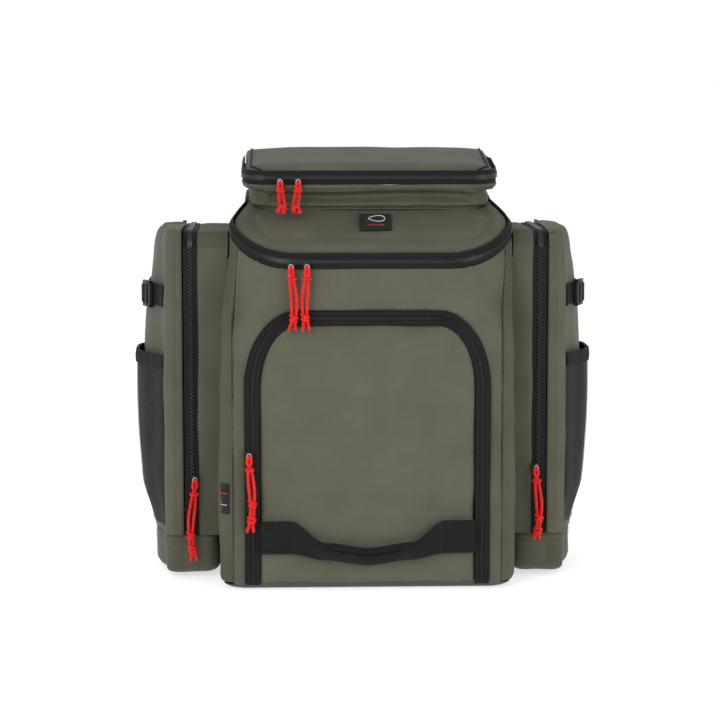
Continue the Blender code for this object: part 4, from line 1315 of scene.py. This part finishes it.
# %% The seven sliders
PULLS = (("lid", "_left", 0.071, (0.80,), 0.0, 0.12), ("lid", "_right", 0.071, (0.79,), 0.0, -0.10),
         ("top", "_left", 0.056, (0.80,), 80.0, 0.12), ("top", "_right", 0.056, (0.80,), 80.0, -0.16),
         ("front", "", 0.087, (0.62, 0.84), 0.0, 0.10), ("side", "_left", 0.095, (0.68, 0.86), 0.0, -0.14),
         ("side", "_right", 0.084, (0.70, 0.88), 0.0, 0.12))
for kind, word, length, knots, turn, lean in PULLS:
    low, high = (Vector(corner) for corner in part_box(kind + "_slider" + word))
    middle = (low + high) / 2.0
    top = Vector((middle.x, middle.y - 0.00891, middle.z))
    slider(kind + "_runner" + word, middle, kind + "_slider" + word, (kind + "_slider" + word,))
    pull(kind + "_cord" + word, top, length, kind + "_pull" + word, (kind + "_pull" + word,), knots,
         math.radians(turn), lean)
print("sliders and cords made")


# %% [markdown]
# ## Labels
# Two woven labels: a small one on the lid, and a narrow one in the seam at the left of the front. They
# carry a plain drop and a few lines, and no words.

# %% Lid label and seam tab
def lid_badge(u, v):
    x, y = 0.005 + 0.037 * (u - 0.5), mix(-0.1090, -0.0705, v)
    return Vector((x, y, lid_height(y) + 0.0014))


panel("lid_badge", lid_badge, 40, 30, 0.0012, (BADGE,), "main_lid", (),
      lambda u, v, point: rolled(u, v, 0.05, 0.07, 0.0006))


def on_badge(u, v):
    return lid_badge(u, v) + Vector((0.0, -0.0004, 0.0011))


def drop(share):
    """A plain drop lying on its side, with its point to the left."""
    angle = 2.0 * math.pi * share
    return on_badge(0.48 + 0.26 * math.cos(angle) + 0.06 * math.cos(2.0 * angle),
                    0.60 + 0.20 * math.sin(angle) * (1.0 + 0.6 * math.cos(angle)) ** 2 * 0.6)


piping("lid_badge_fish", [drop(k / 60.0) for k in range(61)], 0.0005, BADGE_LIGHT, "main_lid", LEAN)
water = [on_badge(mix(0.24, 0.76, k / 20.0), 0.22 + 0.03 * math.sin(k * 1.6)) for k in range(21)]
piping("lid_badge_line", water, 0.0005, BADGE_RED, "main_lid", LEAN)


def seam_tab(u, v):
    x = mix(-0.1715, -0.1590, u)
    z = mix(0.090, 0.125, v)
    return Vector((x, front_y(x, z) - 0.0024, z))


panel("seam_tab", seam_tab, 24, 40, 0.0010, (BADGE,), "pack", (), None, lean=0.0)
for name, height, radius, finish in (("seam_tab_lines", 0.30, 0.0004, BADGE_LIGHT),
                                     ("seam_tab_sign", 0.68, 0.0008, BADGE_RED)):
    line = [seam_tab(mix(0.2, 0.8, k / 10.0), height) + Vector((0.0, -0.0009, 0.0)) for k in range(11)]
    piping(name, line, radius, finish, "pack")


# %% [markdown]
# ## Floor and light
# A white floor and a white room, with two soft lights in front, the stronger one on the left.

# %% Stage
def soft_light(name, place, aim, size, power):
    lamp = bpy.data.lights.new(name, "AREA")
    lamp.shape = "RECTANGLE"
    lamp.size, lamp.size_y = size
    lamp.energy = power
    thing = bpy.data.objects.new(name, lamp)
    thing.location = place
    thing.rotation_euler = (Vector(aim) - Vector(place)).to_track_quat("-Z", "Y").to_euler()
    bpy.context.scene.collection.objects.link(thing)
    return thing


floor_mesh = bpy.data.meshes.new("floor")
work = bmesh.new()
bmesh.ops.create_grid(work, x_segments=1, y_segments=1, size=4.0)
work.to_mesh(floor_mesh)
work.free()
floor = bpy.data.objects.new("floor", floor_mesh)
floor.location = (0.0, 0.0, -0.0005)
bpy.context.scene.collection.objects.link(floor)
white, tree, shader = new_finish("white_floor", paint(214, 214, 214), 0.9)
shader.inputs["Emission Color"].default_value = (1.0, 1.0, 1.0, 1.0)
shader.inputs["Emission Strength"].default_value = 0.62
floor_mesh.materials.append(white)

world = bpy.data.worlds.new("room")
bpy.context.scene.world = world
world.use_nodes = True
tree = world.node_tree
way = joined(tree, "ShaderNodeTexCoord", {})
parts = joined(tree, "ShaderNodeSeparateXYZ", {"Vector": way.outputs["Generated"]})
ceiling = joined(tree, "ShaderNodeMapRange", {"Value": parts.outputs["Z"], "From Min": 0.10, "From Max": 0.40,
                                              "To Min": 1.0, "To Max": 0.66}, interpolation_type="SMOOTHSTEP")
room = tree.nodes["Background"]
room.inputs["Color"].default_value = (1.0, 1.0, 1.0, 1.0)
tree.links.new(ceiling.outputs["Result"], room.inputs["Strength"])
soft_light("key", (-1.1, -2.4, 1.3), (0.0, 0.0, 0.25), (1.2, 1.2), 30.0)
soft_light("fill", (1.8, -2.0, 0.9), (0.0, 0.0, 0.25), (1.2, 1.2), 14.0)
print("stage set")
